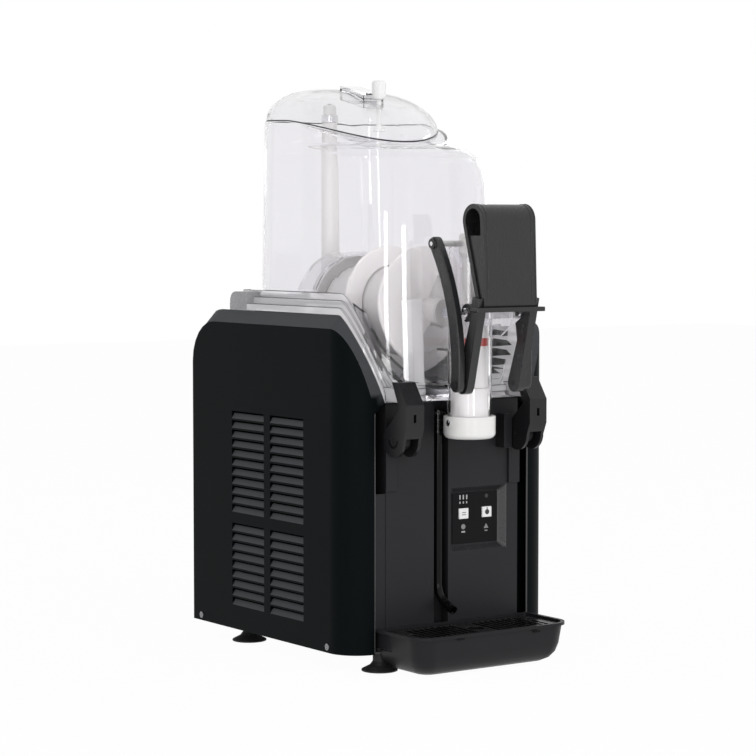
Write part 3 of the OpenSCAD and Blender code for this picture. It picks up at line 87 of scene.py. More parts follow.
# %% camera
camera = bpy.data.objects.new("camera", bpy.data.cameras.new("camera"))
scene.collection.objects.link(camera)
camera.location = (-1.4728, -2.0740, 0.4518)
camera.rotation_euler = (math.radians(86.32), 0, math.radians(-34.97))
camera.data.lens = 114.91
camera.data.sensor_width = 36
camera.data.clip_end = 50
scene.camera = camera
print("camera at", [round(v, 3) for v in camera.location])

# %% [markdown]
# A shader is a tree of nodes, and each input takes either a plain value or the output of another node. These
# helpers accept both, so that a tree reads almost like a formula. An underscore in an input's name stands for
# a space.

# %% node helpers


def feed(tree, socket, value):
    if isinstance(value, bpy.types.NodeSocket):
        tree.links.new(value, socket)
    else:
        socket.default_value = value


def add(tree, kind, **inputs):
    node = tree.nodes.new("ShaderNode" + kind)
    for label, value in inputs.items():
        feed(tree, node.inputs[label.replace("_", " ")], value)
    return node


def maths(tree, operation, first, second):
    node = tree.nodes.new("ShaderNodeMath")
    node.operation = operation
    feed(tree, node.inputs[0], first)
    feed(tree, node.inputs[1], second)
    return node.outputs[0]


def mix_shaders(tree, share, first, second):
    node = tree.nodes.new("ShaderNodeMixShader")
    for socket, value in zip(node.inputs, (share, first, second)):
        feed(tree, socket, value)
    return node.outputs[0]


print("node helpers", [helper.__name__ for helper in (feed, add, maths, mix_shaders)])

# %% [markdown]
# A studio sweep is white to the eye, but it must not light the object too much. Light Path tells which rays
# the camera, a mirror or clear plastic sends out: those see pure white, and all the others get a softer grey
# light from the world. The floor works in the same way, but keeps a share of real shading, so that a faint
# shadow stays under the feet.

# %% world and floor
scene.view_settings.view_transform = "Standard"
WORLD_LIGHT = 0.42
FLOOR_GLOW = 0.97
FLOOR_DROP, FLOOR_HALF = 0.0002, 6


def seen_directly(tree):
    path = tree.nodes.new("ShaderNodeLightPath")
    either = maths(tree, "MAXIMUM", path.outputs["Is Camera Ray"], path.outputs["Is Glossy Ray"])
    return maths(tree, "MAXIMUM", either, path.outputs["Is Transmission Ray"])


world = bpy.data.worlds.new("studio")
scene.world = world
world.use_nodes = True
tree = world.node_tree
tree.nodes.clear()
soft = add(tree, "Background", Color=(0.97, 0.98, 1.0, 1), Strength=WORLD_LIGHT)
white = add(tree, "Background", Color=(1, 1, 1, 1), Strength=1.0)
add(tree, "OutputWorld", Surface=mix_shaders(tree, seen_directly(tree), soft.outputs[0], white.outputs[0]))

floor_mesh = bpy.data.meshes.new("floor")
shape = bmesh.new()
bmesh.ops.create_grid(shape, x_segments=1, y_segments=1, size=FLOOR_HALF)
shape.to_mesh(floor_mesh)
shape.free()
floor = bpy.data.objects.new("floor", floor_mesh)
scene.collection.objects.link(floor)
floor.location.z = cad_low.z - FLOOR_DROP
paper = bpy.data.materials.new("white_paper")
paper.use_nodes = True
tree = paper.node_tree
tree.nodes.clear()
shade = add(tree, "BsdfDiffuse", Color=(0.93, 0.93, 0.93, 1))
glow = add(tree, "Emission", Strength=1.0)
share = maths(tree, "MULTIPLY", seen_directly(tree), FLOOR_GLOW)
add(tree, "OutputMaterial", Surface=mix_shaders(tree, share, shade.outputs[0], glow.outputs[0]))
floor_mesh.materials.append(paper)
print("floor at", round(floor.location.z, 4))

# %% [markdown]
# Four large soft boxes light the machine: a key from the front above the camera, a fill from each side, and
# one from behind that draws the edges of the dark body. They are hidden from mirror rays, so that they leave
# no window shapes on the bowl. Two narrow strips stand where the round front of the bowl mirrors them to the
# camera: they add little light, but draw the upright white streaks of clear plastic.

# %% lamps


def soft_box(name, place, target, width, height, watts, mirrored=False):
    lamp = bpy.data.lights.new(name, "AREA")
    lamp.shape = "RECTANGLE"
    lamp.size = width
    lamp.size_y = height
    lamp.energy = watts
    thing = bpy.data.objects.new(name, lamp)
    scene.collection.objects.link(thing)
    thing.location = place
    thing.rotation_mode = "QUATERNION"
    thing.rotation_quaternion = (Vector(target) - Vector(place)).to_track_quat("-Z", "Y")
    thing.visible_glossy = mirrored
    thing.visible_transmission = mirrored


soft_box("key_lamp", (0.1, -2.2, 1.9), (0, 0, 0.3), 1.2, 1.2, 19)
soft_box("fill_lamp", (2.2, -1.2, 1.1), (0, 0, 0.3), 1.0, 1.6, 11)
soft_box("left_lamp", (-2.4, -1.0, 0.8), (0, 0, 0.25), 0.9, 1.0, 9)
soft_box("back_lamp", (-1.6, 1.6, 1.7), (0, 0, 0.35), 0.8, 1.4, 9)
soft_box("front_strip", (-0.54, -2.18, 0.365), (0, 0, 0.365), 0.26, 0.63, 3.9, mirrored=True)
soft_box("side_strip", (-1.55, -1.61, 0.36), (0, 0, 0.36), 0.22, 0.68, 3.6, mirrored=True)

# %% [markdown]
# Real plastic and paint are never one flat colour. Two small node groups give what all the finishes share:
# a fine grain for the bump and the gloss, and slow clouds with a little dust on faces that look up. The second
# one also marks faces that lean back even slightly, for a painted highlight on the body's bevels and slats.
# A group is built once and placed in each material with its own values.

# %% shared shader groups


def spread(tree, value, from_min, from_max, to_min=0.0, to_max=1.0):
    node = add(tree, "MapRange", Value=value, From_Min=from_min, From_Max=from_max, To_Min=to_min,
               To_Max=to_max)
    return node.outputs[0]


def new_group(name, default_scale, outputs):
    group = bpy.data.node_groups.new(name, "ShaderNodeTree")
    group.interface.new_socket("Vector", in_out="INPUT", socket_type="NodeSocketVector")
    scale = group.interface.new_socket("Scale", in_out="INPUT", socket_type="NodeSocketFloat")
    scale.default_value = default_scale
    for label in outputs:
        group.interface.new_socket(label, in_out="OUTPUT", socket_type="NodeSocketFloat")
    start, end = group.nodes.new("NodeGroupInput"), group.nodes.new("NodeGroupOutput")
    return group, start.outputs["Vector"], start.outputs["Scale"], end


def make_grain_group():
    group, vector, scale, end = new_group("fine_grain", 900.0, ("Height", "Speck"))
    fine = add(group, "TexNoise", Vector=vector, Scale=scale, Detail=2.0)
    cells = add(group, "TexVoronoi", Vector=vector, Scale=scale)
    height = maths(group, "MULTIPLY", fine.outputs["Fac"], cells.outputs["Distance"])
    feed(group, end.inputs["Height"], height)
    feed(group, end.inputs["Speck"], fine.outputs["Fac"])
    return group


def make_cloud_group():
    group, vector, scale, end = new_group("clouds_dust_and_painted_highlight", 12.0, ("Cloud", "Dust", "Painted highlight"))
    cloud = add(group, "TexNoise", Vector=vector, Scale=scale, Detail=4.0)
    motes = add(group, "TexNoise", Vector=vector, Scale=260.0, Detail=5.0)
    facing = group.nodes.new("ShaderNodeNewGeometry")
    height = add(group, "SeparateXYZ", Vector=facing.outputs["Normal"]).outputs["Z"]
    level = spread(group, height, 0.4, 1.0)
    sparse = spread(group, motes.outputs["Fac"], 0.52, 0.75)
    # Mask of faces that lean back, where a painted highlight goes
    painted_highlight_mask = spread(group, height, 0.013, 0.040)
    feed(group, end.inputs["Cloud"], cloud.outputs["Fac"])
    feed(group, end.inputs["Dust"], maths(group, "MULTIPLY", level, sparse))
    feed(group, end.inputs["Painted highlight"], painted_highlight_mask)
    return group


GRAIN = make_grain_group()
CLOUDS = make_cloud_group()
print("groups", GRAIN.name, CLOUDS.name)

# %% [markdown]
# Most finishes of the machine are one recipe with other numbers: two close colours that the clouds mix, a
# roughness that the grain moves up and down, and a bump of the grain's own depth. Dust lightens faces that
# look up. What is the same all over a piece, such as the specular level, is set on the shader's own socket.

# %% recipe of the opaque finishes
CLOUD_SCALE = 14.0
DUST_COLOUR = (0.45, 0.45, 0.44, 1)
SCATTER_RADIUS = (0.004, 0.004, 0.0035)


def new_finish(name, constants):
    material = bpy.data.materials.new(name)
    material.use_nodes = True
    shader = material.node_tree.nodes["Principled BSDF"]
    for label, value in constants.items():
        shader.inputs[label].default_value = value
    return material, material.node_tree, shader


def placed_group(tree, group, scale, vector):
    node = tree.nodes.new("ShaderNodeGroup")
    node.node_tree = group
    feed(tree, node.inputs["Scale"], scale)
    feed(tree, node.inputs["Vector"], vector)
    return node


def mix_colours(tree, share, first, second):
    node = tree.nodes.new("ShaderNodeMix")
    node.data_type = "RGBA"
    for index, value in ((0, share), (6, first), (7, second)):
        feed(tree, node.inputs[index], value)
    return node.outputs[2]


def shape_surface(tree, shader, speck, rough, height, bump, depth):
    feed(tree, shader.inputs["Roughness"], spread(tree, speck, 0.3, 0.7, *rough))
    relief = add(tree, "Bump", Strength=bump, Distance=depth, Height=height)
    feed(tree, shader.inputs["Normal"], relief.outputs[0])


def opaque_finish(name, dark, light, rough, grain, bump, depth=0.0001, specular=0.5, metallic=0.0, dust=0.06,
                  stretch=(1, 1, 1), subsurface=0.0, painted_highlight=None):
    constants = {"Metallic": metallic, "Specular IOR Level": specular}
    if subsurface:
        constants.update({"Subsurface Weight": subsurface, "Subsurface Radius": SCATTER_RADIUS,
                          "Subsurface Scale": 1.0})
    material, tree, shader = new_finish(name, constants)
    place = tree.nodes.new("ShaderNodeTexCoord").outputs["Object"]
    stretched = add(tree, "Mapping", Vector=place, Scale=stretch).outputs[0]
    fine = placed_group(tree, GRAIN, grain, stretched)
    slow = placed_group(tree, CLOUDS, CLOUD_SCALE, place)
    colour = mix_colours(tree, slow.outputs["Cloud"], (*dark, 1), (*light, 1))
    dusty = maths(tree, "MULTIPLY", slow.outputs["Dust"], dust)
    colour = mix_colours(tree, dusty, colour, DUST_COLOUR)
    # Faces that lean back get a lighter colour here: a painted highlight for the light that the bevels catch
    if painted_highlight:
        colour = mix_colours(tree, slow.outputs["Painted highlight"], colour, (*painted_highlight, 1))
    feed(tree, shader.inputs["Base Color"], colour)
    shape_surface(tree, shader, fine.outputs["Speck"], rough, fine.outputs["Height"], bump, depth)
    return material


print("recipe", opaque_finish.__name__)

# %% [markdown]
# The table holds one look for each finish. The body is nearly black, but its parts differ in gloss and grain:
# fine textured paint on the panels, moulded plastic with a coarser grain on the lever, and shiny rubber on the
# hose. Whites that let some light in, such as the spiral's plastic, get a little scattering below the surface.

# %% opaque finishes
OPAQUE = {
    # The panels' lighter colour on faces that lean back is a painted highlight
    "panel_paint": dict(dark=(0.0022, 0.0036, 0.0041), light=(0.0034, 0.0049, 0.0055), rough=(0.42, 0.54),
                        grain=1400, bump=0.25, specular=0.035, painted_highlight=(0.064, 0.067, 0.071)),
    "front_plastic": dict(dark=(0.0105, 0.0105, 0.0125), light=(0.0145, 0.0145, 0.0165), rough=(0.44, 0.58),
                          grain=1100, bump=0.3, specular=0.26),
    "tray_plastic": dict(dark=(0.0100, 0.0100, 0.0118), light=(0.0132, 0.0132, 0.0150), rough=(0.38, 0.5),
                         grain=1100, bump=0.3, specular=0.19),
    "lever_plastic": dict(dark=(0.009, 0.009, 0.0105), light=(0.017, 0.017, 0.0185), rough=(0.24, 0.46),
                          grain=420, bump=0.5, depth=0.0003, stretch=(1, 1, 0.25)),
    "latch_plastic": dict(dark=(0.0075, 0.0075, 0.009), light=(0.012, 0.012, 0.0135), rough=(0.32, 0.46),
                          grain=900, bump=0.3, depth=0.00012, specular=0.34),
    # Black of the control plate, also used as painted shade for the slots of the tray and the latches
    "plate_black_and_slot_shade": dict(dark=(0.004, 0.004, 0.005), light=(0.006, 0.006, 0.007), rough=(0.3, 0.4),
                        grain=900, bump=0.1, specular=0.1),
    "grille_black": dict(dark=(0.004, 0.004, 0.0045), light=(0.007, 0.007, 0.0075), rough=(0.20, 0.32),
                         grain=900, bump=0.15, specular=0.26),
    "black_gloss": dict(dark=(0.003, 0.003, 0.0035), light=(0.005, 0.005, 0.0055), rough=(0.08, 0.16),
                        grain=700, bump=0.06, specular=0.45),
    "hose_rubber": dict(dark=(0.002, 0.002, 0.0025), light=(0.0032, 0.0032, 0.0036), rough=(0.05, 0.09),
                        grain=700, bump=0.04, specular=0.16),
    # The recess wall's lighter colour is a painted highlight; its lower roughness and higher specular are real
    # gloss
    "recess_gloss_and_painted_highlight": dict(dark=(0.022, 0.022, 0.024), light=(0.029, 0.029, 0.031), rough=(0.26, 0.34),
                         grain=900, bump=0.02, specular=0.6),
    "cap_grey": dict(dark=(0.17, 0.17, 0.18), light=(0.42, 0.415, 0.43), rough=(0.18, 0.42),
                     grain=260, bump=0.7, depth=0.0008, dust=0.0),
    # A lighter paint on the hems is a painted highlight along the folds
    "painted_hem_highlight": dict(dark=(0.020, 0.020, 0.022), light=(0.028, 0.028, 0.030), rough=(0.34, 0.46),
                      grain=900, bump=0.15, specular=0.7),
    # Near-black felt that stands for the shade inside the machine: painted shade
    "painted_shade_felt": dict(dark=(0.0016, 0.0019, 0.0021), light=(0.0028, 0.0031, 0.0034), rough=(0.8, 0.95),
                        grain=1500, bump=0.6, depth=0.0003, specular=0.02, dust=0.0),
    "foot_rubber": dict(dark=(0.010, 0.010, 0.010), light=(0.016, 0.016, 0.016), rough=(0.5, 0.66),
                        grain=700, bump=0.3, depth=0.0002, specular=0.35),
    "white_plastic": dict(dark=(0.83, 0.815, 0.80), light=(0.88, 0.87, 0.855), rough=(0.20, 0.28),
                          grain=500, bump=0.02, dust=0.0, subsurface=0.2),
    "knob_white": dict(dark=(0.93, 0.925, 0.915), light=(0.955, 0.95, 0.94), rough=(0.22, 0.30),
                       grain=500, bump=0.02, dust=0.0, subsurface=0.2),
    "post_plastic": dict(dark=(0.78, 0.765, 0.75), light=(0.84, 0.825, 0.81), rough=(0.24, 0.34),
                         grain=500, bump=0.03, specular=0.45, dust=0.0),
    "auger_plastic": dict(dark=(0.77, 0.752, 0.745), light=(0.83, 0.813, 0.806), rough=(0.34, 0.46),
                          grain=420, bump=0.08, specular=0.4, dust=0.0, subsurface=0.3),
    "button_white": dict(dark=(0.84, 0.84, 0.84), light=(0.89, 0.89, 0.89), rough=(0.26, 0.34),
                         grain=800, bump=0.08, dust=0.0),
    "red_rubber": dict(dark=(0.46, 0.075, 0.065), light=(0.56, 0.10, 0.085), rough=(0.32, 0.44),
                       grain=700, bump=0.15, specular=0.45, dust=0.0),
    "pale_rubber": dict(dark=(0.86, 0.85, 0.84), light=(0.90, 0.89, 0.88), rough=(0.45, 0.6),
                        grain=700, bump=0.1, specular=0.4, dust=0.0),
    "chrome": dict(dark=(0.72, 0.72, 0.74), light=(0.80, 0.80, 0.82), rough=(0.06, 0.12),
                   grain=700, bump=0.03, metallic=1.0, dust=0.0),
    "brushed_steel": dict(dark=(0.55, 0.56, 0.58), light=(0.66, 0.67, 0.69), rough=(0.24, 0.38),
                          grain=900, bump=0.2, metallic=1.0, dust=0.02, stretch=(1, 0.04, 1)),
    "grey_metal": dict(dark=(0.10, 0.105, 0.11), light=(0.14, 0.145, 0.15), rough=(0.42, 0.55),
                       grain=800, bump=0.15, specular=0.4),
    "fin_metal": dict(dark=(0.55, 0.56, 0.58), light=(0.65, 0.66, 0.68), rough=(0.3, 0.42),
                      grain=900, bump=0.1, metallic=1.0),
    "pale_steel": dict(dark=(0.70, 0.69, 0.685), light=(0.77, 0.76, 0.755), rough=(0.5, 0.62),
                       grain=900, bump=0.05, specular=0.4, metallic=0.2, dust=0.0),
    "black_steel": dict(dark=(0.020, 0.020, 0.022), light=(0.034, 0.034, 0.036), rough=(0.3, 0.42),
                        grain=900, bump=0.05, metallic=0.6, dust=0.0),
    "dark_steel": dict(dark=(0.20, 0.20, 0.21), light=(0.28, 0.28, 0.29), rough=(0.22, 0.34),
                       grain=900, bump=0.05, metallic=1.0, dust=0.0),
    "board_green": dict(dark=(0.01, 0.09, 0.035), light=(0.014, 0.12, 0.05), rough=(0.3, 0.42),
                        grain=900, bump=0.1),
    "mark_white": dict(dark=(0.38, 0.38, 0.38), light=(0.46, 0.46, 0.46), rough=(0.4, 0.5),
                       grain=800, bump=0.05, depth=0.0002, dust=0.0),
    "mark_grey": dict(dark=(0.20, 0.20, 0.205), light=(0.25, 0.25, 0.255), rough=(0.4, 0.5),
                      grain=800, bump=0.05, depth=0.0002, dust=0.0),
    # Dark print marks and lines; also painted shade in the screws' cross recesses
    "dark_marks_and_recess_shade": dict(dark=(0.018, 0.018, 0.02), light=(0.026, 0.026, 0.028), rough=(0.3, 0.4),
                      grain=800, bump=0.05, depth=0.0002, dust=0.0),
    "edge_grey": dict(dark=(0.10, 0.098, 0.10), light=(0.15, 0.147, 0.15), rough=(0.2, 0.3),
                      grain=800, bump=0.05, depth=0.0002, dust=0.0),
}
FINISH = {name: opaque_finish(name, **look) for name, look in OPAQUE.items()}
print("opaque finishes", len(FINISH))

# %% [markdown]
# The bowl and the lid are clear moulded plastic. The Principled shader with full transmission bends the light,
# so rims and edges turn grey by themselves. The walls are thin and even, so a low index bends it only a
# little, and the coat gives the gloss that goes with the real one. Lamps cannot shine through such a surface
# without much noise, so rays that only ask for shadow pass straight through a transparent shader, tinted a
# little. The domed lid is thicker at its rim and bends more. The bowl's roof gets a darker tint, as painted
# shade. The ledge lies on the dark body and still looks pale, so part of its finish is a pale diffuse colour
# that scatters light: painted light for that pale look.

# %% clear finishes
CLEAR_CLOUDS, CLEAR_GRAIN, CLEAR_BUMP, CLEAR_DEPTH = 9.0, 60, 0.02, 0.0001


def clear_finish(name, tint, rough, shadow=0.92, transmission=1.0, ior=1.13):
    material, tree, shader = new_finish(name, {
        "Base Color": (*tint, 1), "Transmission Weight": transmission, "IOR": ior,
        "Coat Weight": 1.0, "Coat Roughness": 0.015, "Coat IOR": 1.5,
    })
    place = tree.nodes.new("ShaderNodeTexCoord").outputs["Object"]
    fine = placed_group(tree, GRAIN, CLEAR_GRAIN, place)
    slow = placed_group(tree, CLOUDS, CLEAR_CLOUDS, place)
    shape_surface(tree, shader, slow.outputs["Cloud"], rough, fine.outputs["Height"], CLEAR_BUMP, CLEAR_DEPTH)
    through = add(tree, "BsdfTransparent", Color=(shadow, shadow, shadow, 1))
    only_shadow = tree.nodes.new("ShaderNodeLightPath").outputs["Is Shadow Ray"]
    surface = mix_shaders(tree, only_shadow, shader.outputs[0], through.outputs[0])
    feed(tree, tree.nodes["Material Output"].inputs["Surface"], surface)
    return material


CLEAR = {
    "clear_plastic": dict(tint=(0.905, 0.896, 0.915), rough=(0.0, 0.03)),
    "clear_lid": dict(tint=(0.905, 0.900, 0.912), rough=(0.0, 0.04), ior=1.3),
    # The roof's darker tint is painted shade, and the ledge's pale diffuse share is painted light
    "clear_roof_painted_shade": dict(tint=(0.870, 0.860, 0.882), rough=(0.0, 0.03), ior=1.04),
    "clear_ledge_painted_light": dict(tint=(0.89, 0.875, 0.895), rough=(0.02, 0.08), shadow=0.9, transmission=0.42),
}
FINISH.update({name: clear_finish(name, **look) for name, look in CLEAR.items()})
print("clear finishes", len(CLEAR))

# %% [markdown]
# Each solid gets its finish by name. Solids that are sealed inside keep their own mesh: only their material
# changes. A table from finish to nodes is easier to read than one line for each.

# %% finishes of the solids
WEARS = {
    "panel_paint": "left_side_panel right_side_panel rear_panel rear_cover front_frame compressor",
    "front_plastic": "front_panel latch_bracket_left latch_bracket_right",
    "tray_plastic": "drip_tray tray_arm_left tray_arm_right",
    "lever_plastic": "lever rod_left rod_right",
    "latch_plastic": "latch_left latch_right",
    "black_gloss": "cable_gland fan_shroud drain_fitting",
    "plate_black_and_slot_shade": "control_plate",
    "grille_black": "drip_grille",
    "hose_rubber": "drain_hose",
    "foot_rubber": "foot_front_left foot_front_right foot_rear_left foot_rear_right",
    "white_plastic": "front_bush spout_collar piston fan",
    "knob_white": "lid_knob",
    "post_plastic": "light_post post_cap",
    "button_white": "button_left button_right",
    "auger_plastic": "auger",
    "red_rubber": "piston_seal",
    "pale_rubber": "shaft_seal bowl_gasket",
    "chrome": "post_ring",
    "dark_steel": "panel_screws",
    "black_steel": "link_pin_left link_pin_right latch_pin_left latch_pin_right",
    "pale_steel": "evaporator piston_pin mid_bulkhead",
    "brushed_steel": "deck drive_shaft fan_motor",
    "grey_metal": "base_pan gearmotor",
    "fin_metal": "condenser",
    "board_green": "control_board",
    "clear_plastic": "bowl",
    "clear_lid": "lid",
}
worn = {name: finish for finish, names in WEARS.items() for name in names.split()}
for name, finish in worn.items():
    nodes[name].data.materials.clear()
    nodes[name].data.materials.append(FINISH[finish])
print("solids with a finish", len(worn), "of", len(nodes))

# %% [markdown]
# Some steps are the same for every piece: edges are bevelled with a round profile, faces get a finish and
# smooth shading up to a set angle, which makes curved walls look curved, and the object is linked to the scene.
# The bevel operator's defaults are not those of the editor, so one helper gives it all its values. Edges and
# faces that are treated in another way are picked by a box that they lie in.

# %% edges and shading


def in_box(place, low, high):
    return all(a <= v <= b for a, v, b in zip(low, place, high))


def round_off(shape, geom, offset, segments, affect="EDGES", clamp=False):
    bmesh.ops.bevel(shape, geom=geom, offset=offset, affect=affect, segments=segments, profile=0.5,
                    material=-1, clamp_overlap=clamp)


def linked_piece(name, mesh, finish, smooth):
    mesh.materials.append(FINISH[finish])
    for face in mesh.polygons:
        face.use_smooth = True
    mesh.set_sharp_from_angle(angle=smooth)
    piece = bpy.data.objects.new(name, mesh)
    scene.collection.objects.link(piece)
    return piece


print("edge helpers", [helper.__name__ for helper in (in_box, round_off, linked_piece)])

# %% [markdown]
# A moulded or folded edge is never sharp. A solid's mesh is loose triangles, so a copy of it is merged, its
# flat faces are joined again, and a Bevel modifier rounds what is left of the edges. The copy then stands for
# the solid. A few edges, such as the rim of the control recess and the ends of the grip's lip, are rounder than
# the rest: they lie in a small box and are bevelled in the mesh itself.

# %% softening a copy
MERGE_DISTANCE = 2e-6
FLAT_ANGLE, CLEAR_FLAT_ANGLE = math.radians(0.4), math.radians(0.05)
BEVEL_ANGLE, SMOOTH_ANGLE, RIM_ANGLE = math.radians(32), math.radians(34), math.radians(20)
# Lowest corner, highest corner and radius
WIDE_ROUNDS = {
    "front_panel": [((-0.006, -0.1022, 0.111), (0.072, -0.1018, 0.184), 0.0026),
                    ((-0.006, -0.1015, 0.111), (0.072, -0.094, 0.184), 0.0022)],
    "lever": [((0.0429, -0.2, 0.363), (0.0431, -0.18, 0.37), 0.0020),
              ((-0.0431, -0.2, 0.363), (-0.0429, -0.18, 0.37), 0.0020)],
}


def softened(node, width):
    shape = bmesh.new()
    shape.from_mesh(nodes[node].data)
    bmesh.ops.remove_doubles(shape, verts=shape.verts, dist=MERGE_DISTANCE)
    flat = CLEAR_FLAT_ANGLE if node in ("bowl", "lid") else FLAT_ANGLE
    bmesh.ops.dissolve_limit(shape, angle_limit=flat, verts=shape.verts, edges=shape.edges)
    for low, high, radius in WIDE_ROUNDS.get(node, []):
        rim = [e for e in shape.edges if all(in_box(v.co, low, high) for v in e.verts)
               and e.calc_face_angle(0) > RIM_ANGLE]
        round_off(shape, rim, radius, 4, clamp=True)
        print(node, "wide rounds on", len(rim), "edges")
    mesh = bpy.data.meshes.new(node + "_soft")
    shape.to_mesh(mesh)
    shape.free()
    piece = linked_piece(node + "_soft", mesh, worn[node], SMOOTH_ANGLE)
    if width:
        bevel = piece.modifiers.new("rounded edges", "BEVEL")
        bevel.limit_method = "ANGLE"
        bevel.angle_limit = BEVEL_ANGLE
        bevel.width = width
        bevel.segments = 2
        bevel.profile = 0.5
        bevel.use_clamp_overlap = True
        bevel.harden_normals = True
        even = piece.modifiers.new("even shading", "WEIGHTED_NORMAL")
        even.keep_sharp = True
    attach(piece, nodes[node]["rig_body"])
    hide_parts(node)
    return piece


print("boxes with wide rounds", sum(len(boxes) for boxes in WIDE_ROUNDS.values()))

# %% [markdown]
# Sheet metal and thin clear walls get a fine round, thick mouldings such as the rods a wide one. The hose is
# round already, and the rear panel's edges lie on the outside of the whole box, so both stay without.

# %% softened copies
ROUNDED = {
    0.0: "rear_panel drain_hose",
    0.0004: "bowl lid drip_grille drain_fitting piston light_post",
    0.0005: "left_side_panel right_side_panel front_frame latch_bracket_left latch_bracket_right "
            "tray_arm_left tray_arm_right",
    0.0006: "front_panel drip_tray lever latch_left latch_right button_left button_right lid_knob post_cap "
            "foot_front_left foot_front_right foot_rear_left foot_rear_right",
    0.0008: "spout_collar rear_cover",
    0.0018: "rod_left rod_right",
}
soft_pieces = {node: softened(node, width) for width, names in ROUNDED.items() for node in names.split()}
print("softened copies", len(soft_pieces))

# %% [markdown]
# Two of the copies wear more than one finish. The bowl's ledge gets a paler finish than its walls, as painted
# light, and its roof a darker one, as painted shade. The wall of the control recess that looks to the left is
# polished and painted lighter, so it draws a bright line beside the plate: real gloss and a painted highlight.
# Faces are chosen by their place and their normal, and get the index of the finish that was added.

# %% second finishes
LEDGE_TOP, LEDGE_HALF = 0.3815, 0.0905
LEDGE_FRONT_Y, LEDGE_FRONT_TOP, TAP_HALF = -0.088, 0.33, 0.03
ROOF_Z, ROOF_NORMAL = 0.518, 0.4
RECESS_LOW, RECESS_HIGH, RECESS_NORMAL = (-0.006, -0.1019, 0.111), (0.0725, 0.0, 0.184), -0.12


def on_ledge(place):
    x, y, z = place
    at_front = y < LEDGE_FRONT_Y and abs(x) > TAP_HALF and z < LEDGE_FRONT_TOP
    return z < LEDGE_TOP and (abs(x) > LEDGE_HALF or at_front)


def on_roof(face):
    return face.center.z > ROOF_Z and abs(face.normal.z) > ROOF_NORMAL


def on_recess_wall(face):
    return in_box(face.center, RECESS_LOW, RECESS_HIGH) and face.normal.x < RECESS_NORMAL


def add_finish(node, finish, chosen):
    mesh = soft_pieces[node].data
    mesh.materials.append(FINISH[finish])
    faces = [face for face in mesh.polygons if chosen(face)]
    for face in faces:
        face.material_index = len(mesh.materials) - 1
    print(finish, "on", len(faces), "faces of the", node)


# The ledge's pale finish and the roof's darker tint are painted light and painted shade
add_finish("bowl", "clear_ledge_painted_light", lambda face: on_ledge(face.center))
add_finish("bowl", "clear_roof_painted_shade", on_roof)
# The recess wall gets its gloss and its painted highlight here
add_finish("front_panel", "recess_gloss_and_painted_highlight", on_recess_wall)

# %% [markdown]
# New pieces start as a bmesh, which is Blender's mesh for editing in code. These helpers set a cylinder in its
# place, find the edges that want a bevel, and join one or more shapes to a finished piece that rides on a body.
# Each shape could be an object of its own, but one mesh for what belongs together keeps the list of pieces
# short.

# %% shapes and pieces
SHARP_ANGLE, PIECE_SMOOTH = 1.0, math.radians(38)


def cylinder(centre, radius, depth, segments, turn):
    shape = bmesh.new()
    place = Matrix.Translation(centre) @ Matrix.Rotation(math.pi / 2, 4, turn)
    bmesh.ops.create_cone(shape, cap_ends=True, segments=segments, radius1=radius, radius2=radius, depth=depth,
                          matrix=place)
    return shape


def sharp_edges(shape):
    return [e for e in shape.edges if e.calc_face_angle(0) > SHARP_ANGLE]


def piece_from(name, shapes, finish, body, slot):
    whole = bmesh.new()
    for shape in shapes:
        part = bpy.data.meshes.new(name + "_part")
        shape.to_mesh(part)
        shape.free()
        whole.from_mesh(part)
        bpy.data.meshes.remove(part)
    mesh = bpy.data.meshes.new(name)
    whole.to_mesh(mesh)
    whole.free()
    piece = linked_piece(name, mesh, finish, PIECE_SMOOTH)
    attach(piece, body)
    return piece


print("piece helpers", [helper.__name__ for helper in (cylinder, sharp_edges, piece_from)])

# %% [markdown]
# The spiral is a helix with a thick rounded edge. The solid has it in coarse steps, so a smooth one is turned
# here: one section with rounded corners is spun round the shaft's line while it moves along it. A Screw
# modifier could do that too, but spin leaves a plain mesh, whose front can then be drawn in to a tip. The
# front part reaches in to the hub, and the rest runs round the cold cylinder as a ribbon.

# %% spiral
AXIS = Vector((0, 0, 0.360))
PITCH, SPIN_STEP = 0.060, math.radians(3)
NOSE_INNER, RIBBON_INNER, SPIRAL_R = 0.012, 0.048, 0.068
ROOT, EDGE = 0.007, 0.0042
SPIRAL_FRONT, START = -0.073, math.radians(230)
NOSE_TURN = math.radians(168)
ALL_TURN = 2 * math.pi * 131 / 60
TIP_RUN, TIP_DRAW = 0.012, 0.006
HUB_Y, HUB_R, HUB_LENGTH, HUB_ROUND = -0.0605, 0.014, 0.038, 0.0012


def spiral_ribbon(inner, y_start, start, turn):
    shape = bmesh.new()
    away = Vector((math.cos(start), 0, math.sin(start)))
    section = [(inner, -ROOT / 2), (SPIRAL_R, -EDGE / 2), (SPIRAL_R, EDGE / 2), (inner, ROOT / 2)]
    corners = [shape.verts.new(AXIS + away * r + Vector((0, y_start + t, 0))) for r, t in section]
    shape.faces.new(corners)
    round_off(shape, corners[1:3], EDGE * 0.46, 4, affect="VERTICES")
    steps = int(turn / SPIN_STEP)
    bmesh.ops.spin(shape, geom=shape.faces[:] + shape.edges[:] + shape.verts[:], cent=AXIS, axis=(0, 1, 0),
                   dvec=(0, PITCH * turn / (2 * math.pi) / steps, 0), angle=turn, steps=steps)
    bmesh.ops.recalc_face_normals(shape, faces=shape.faces)
    return shape


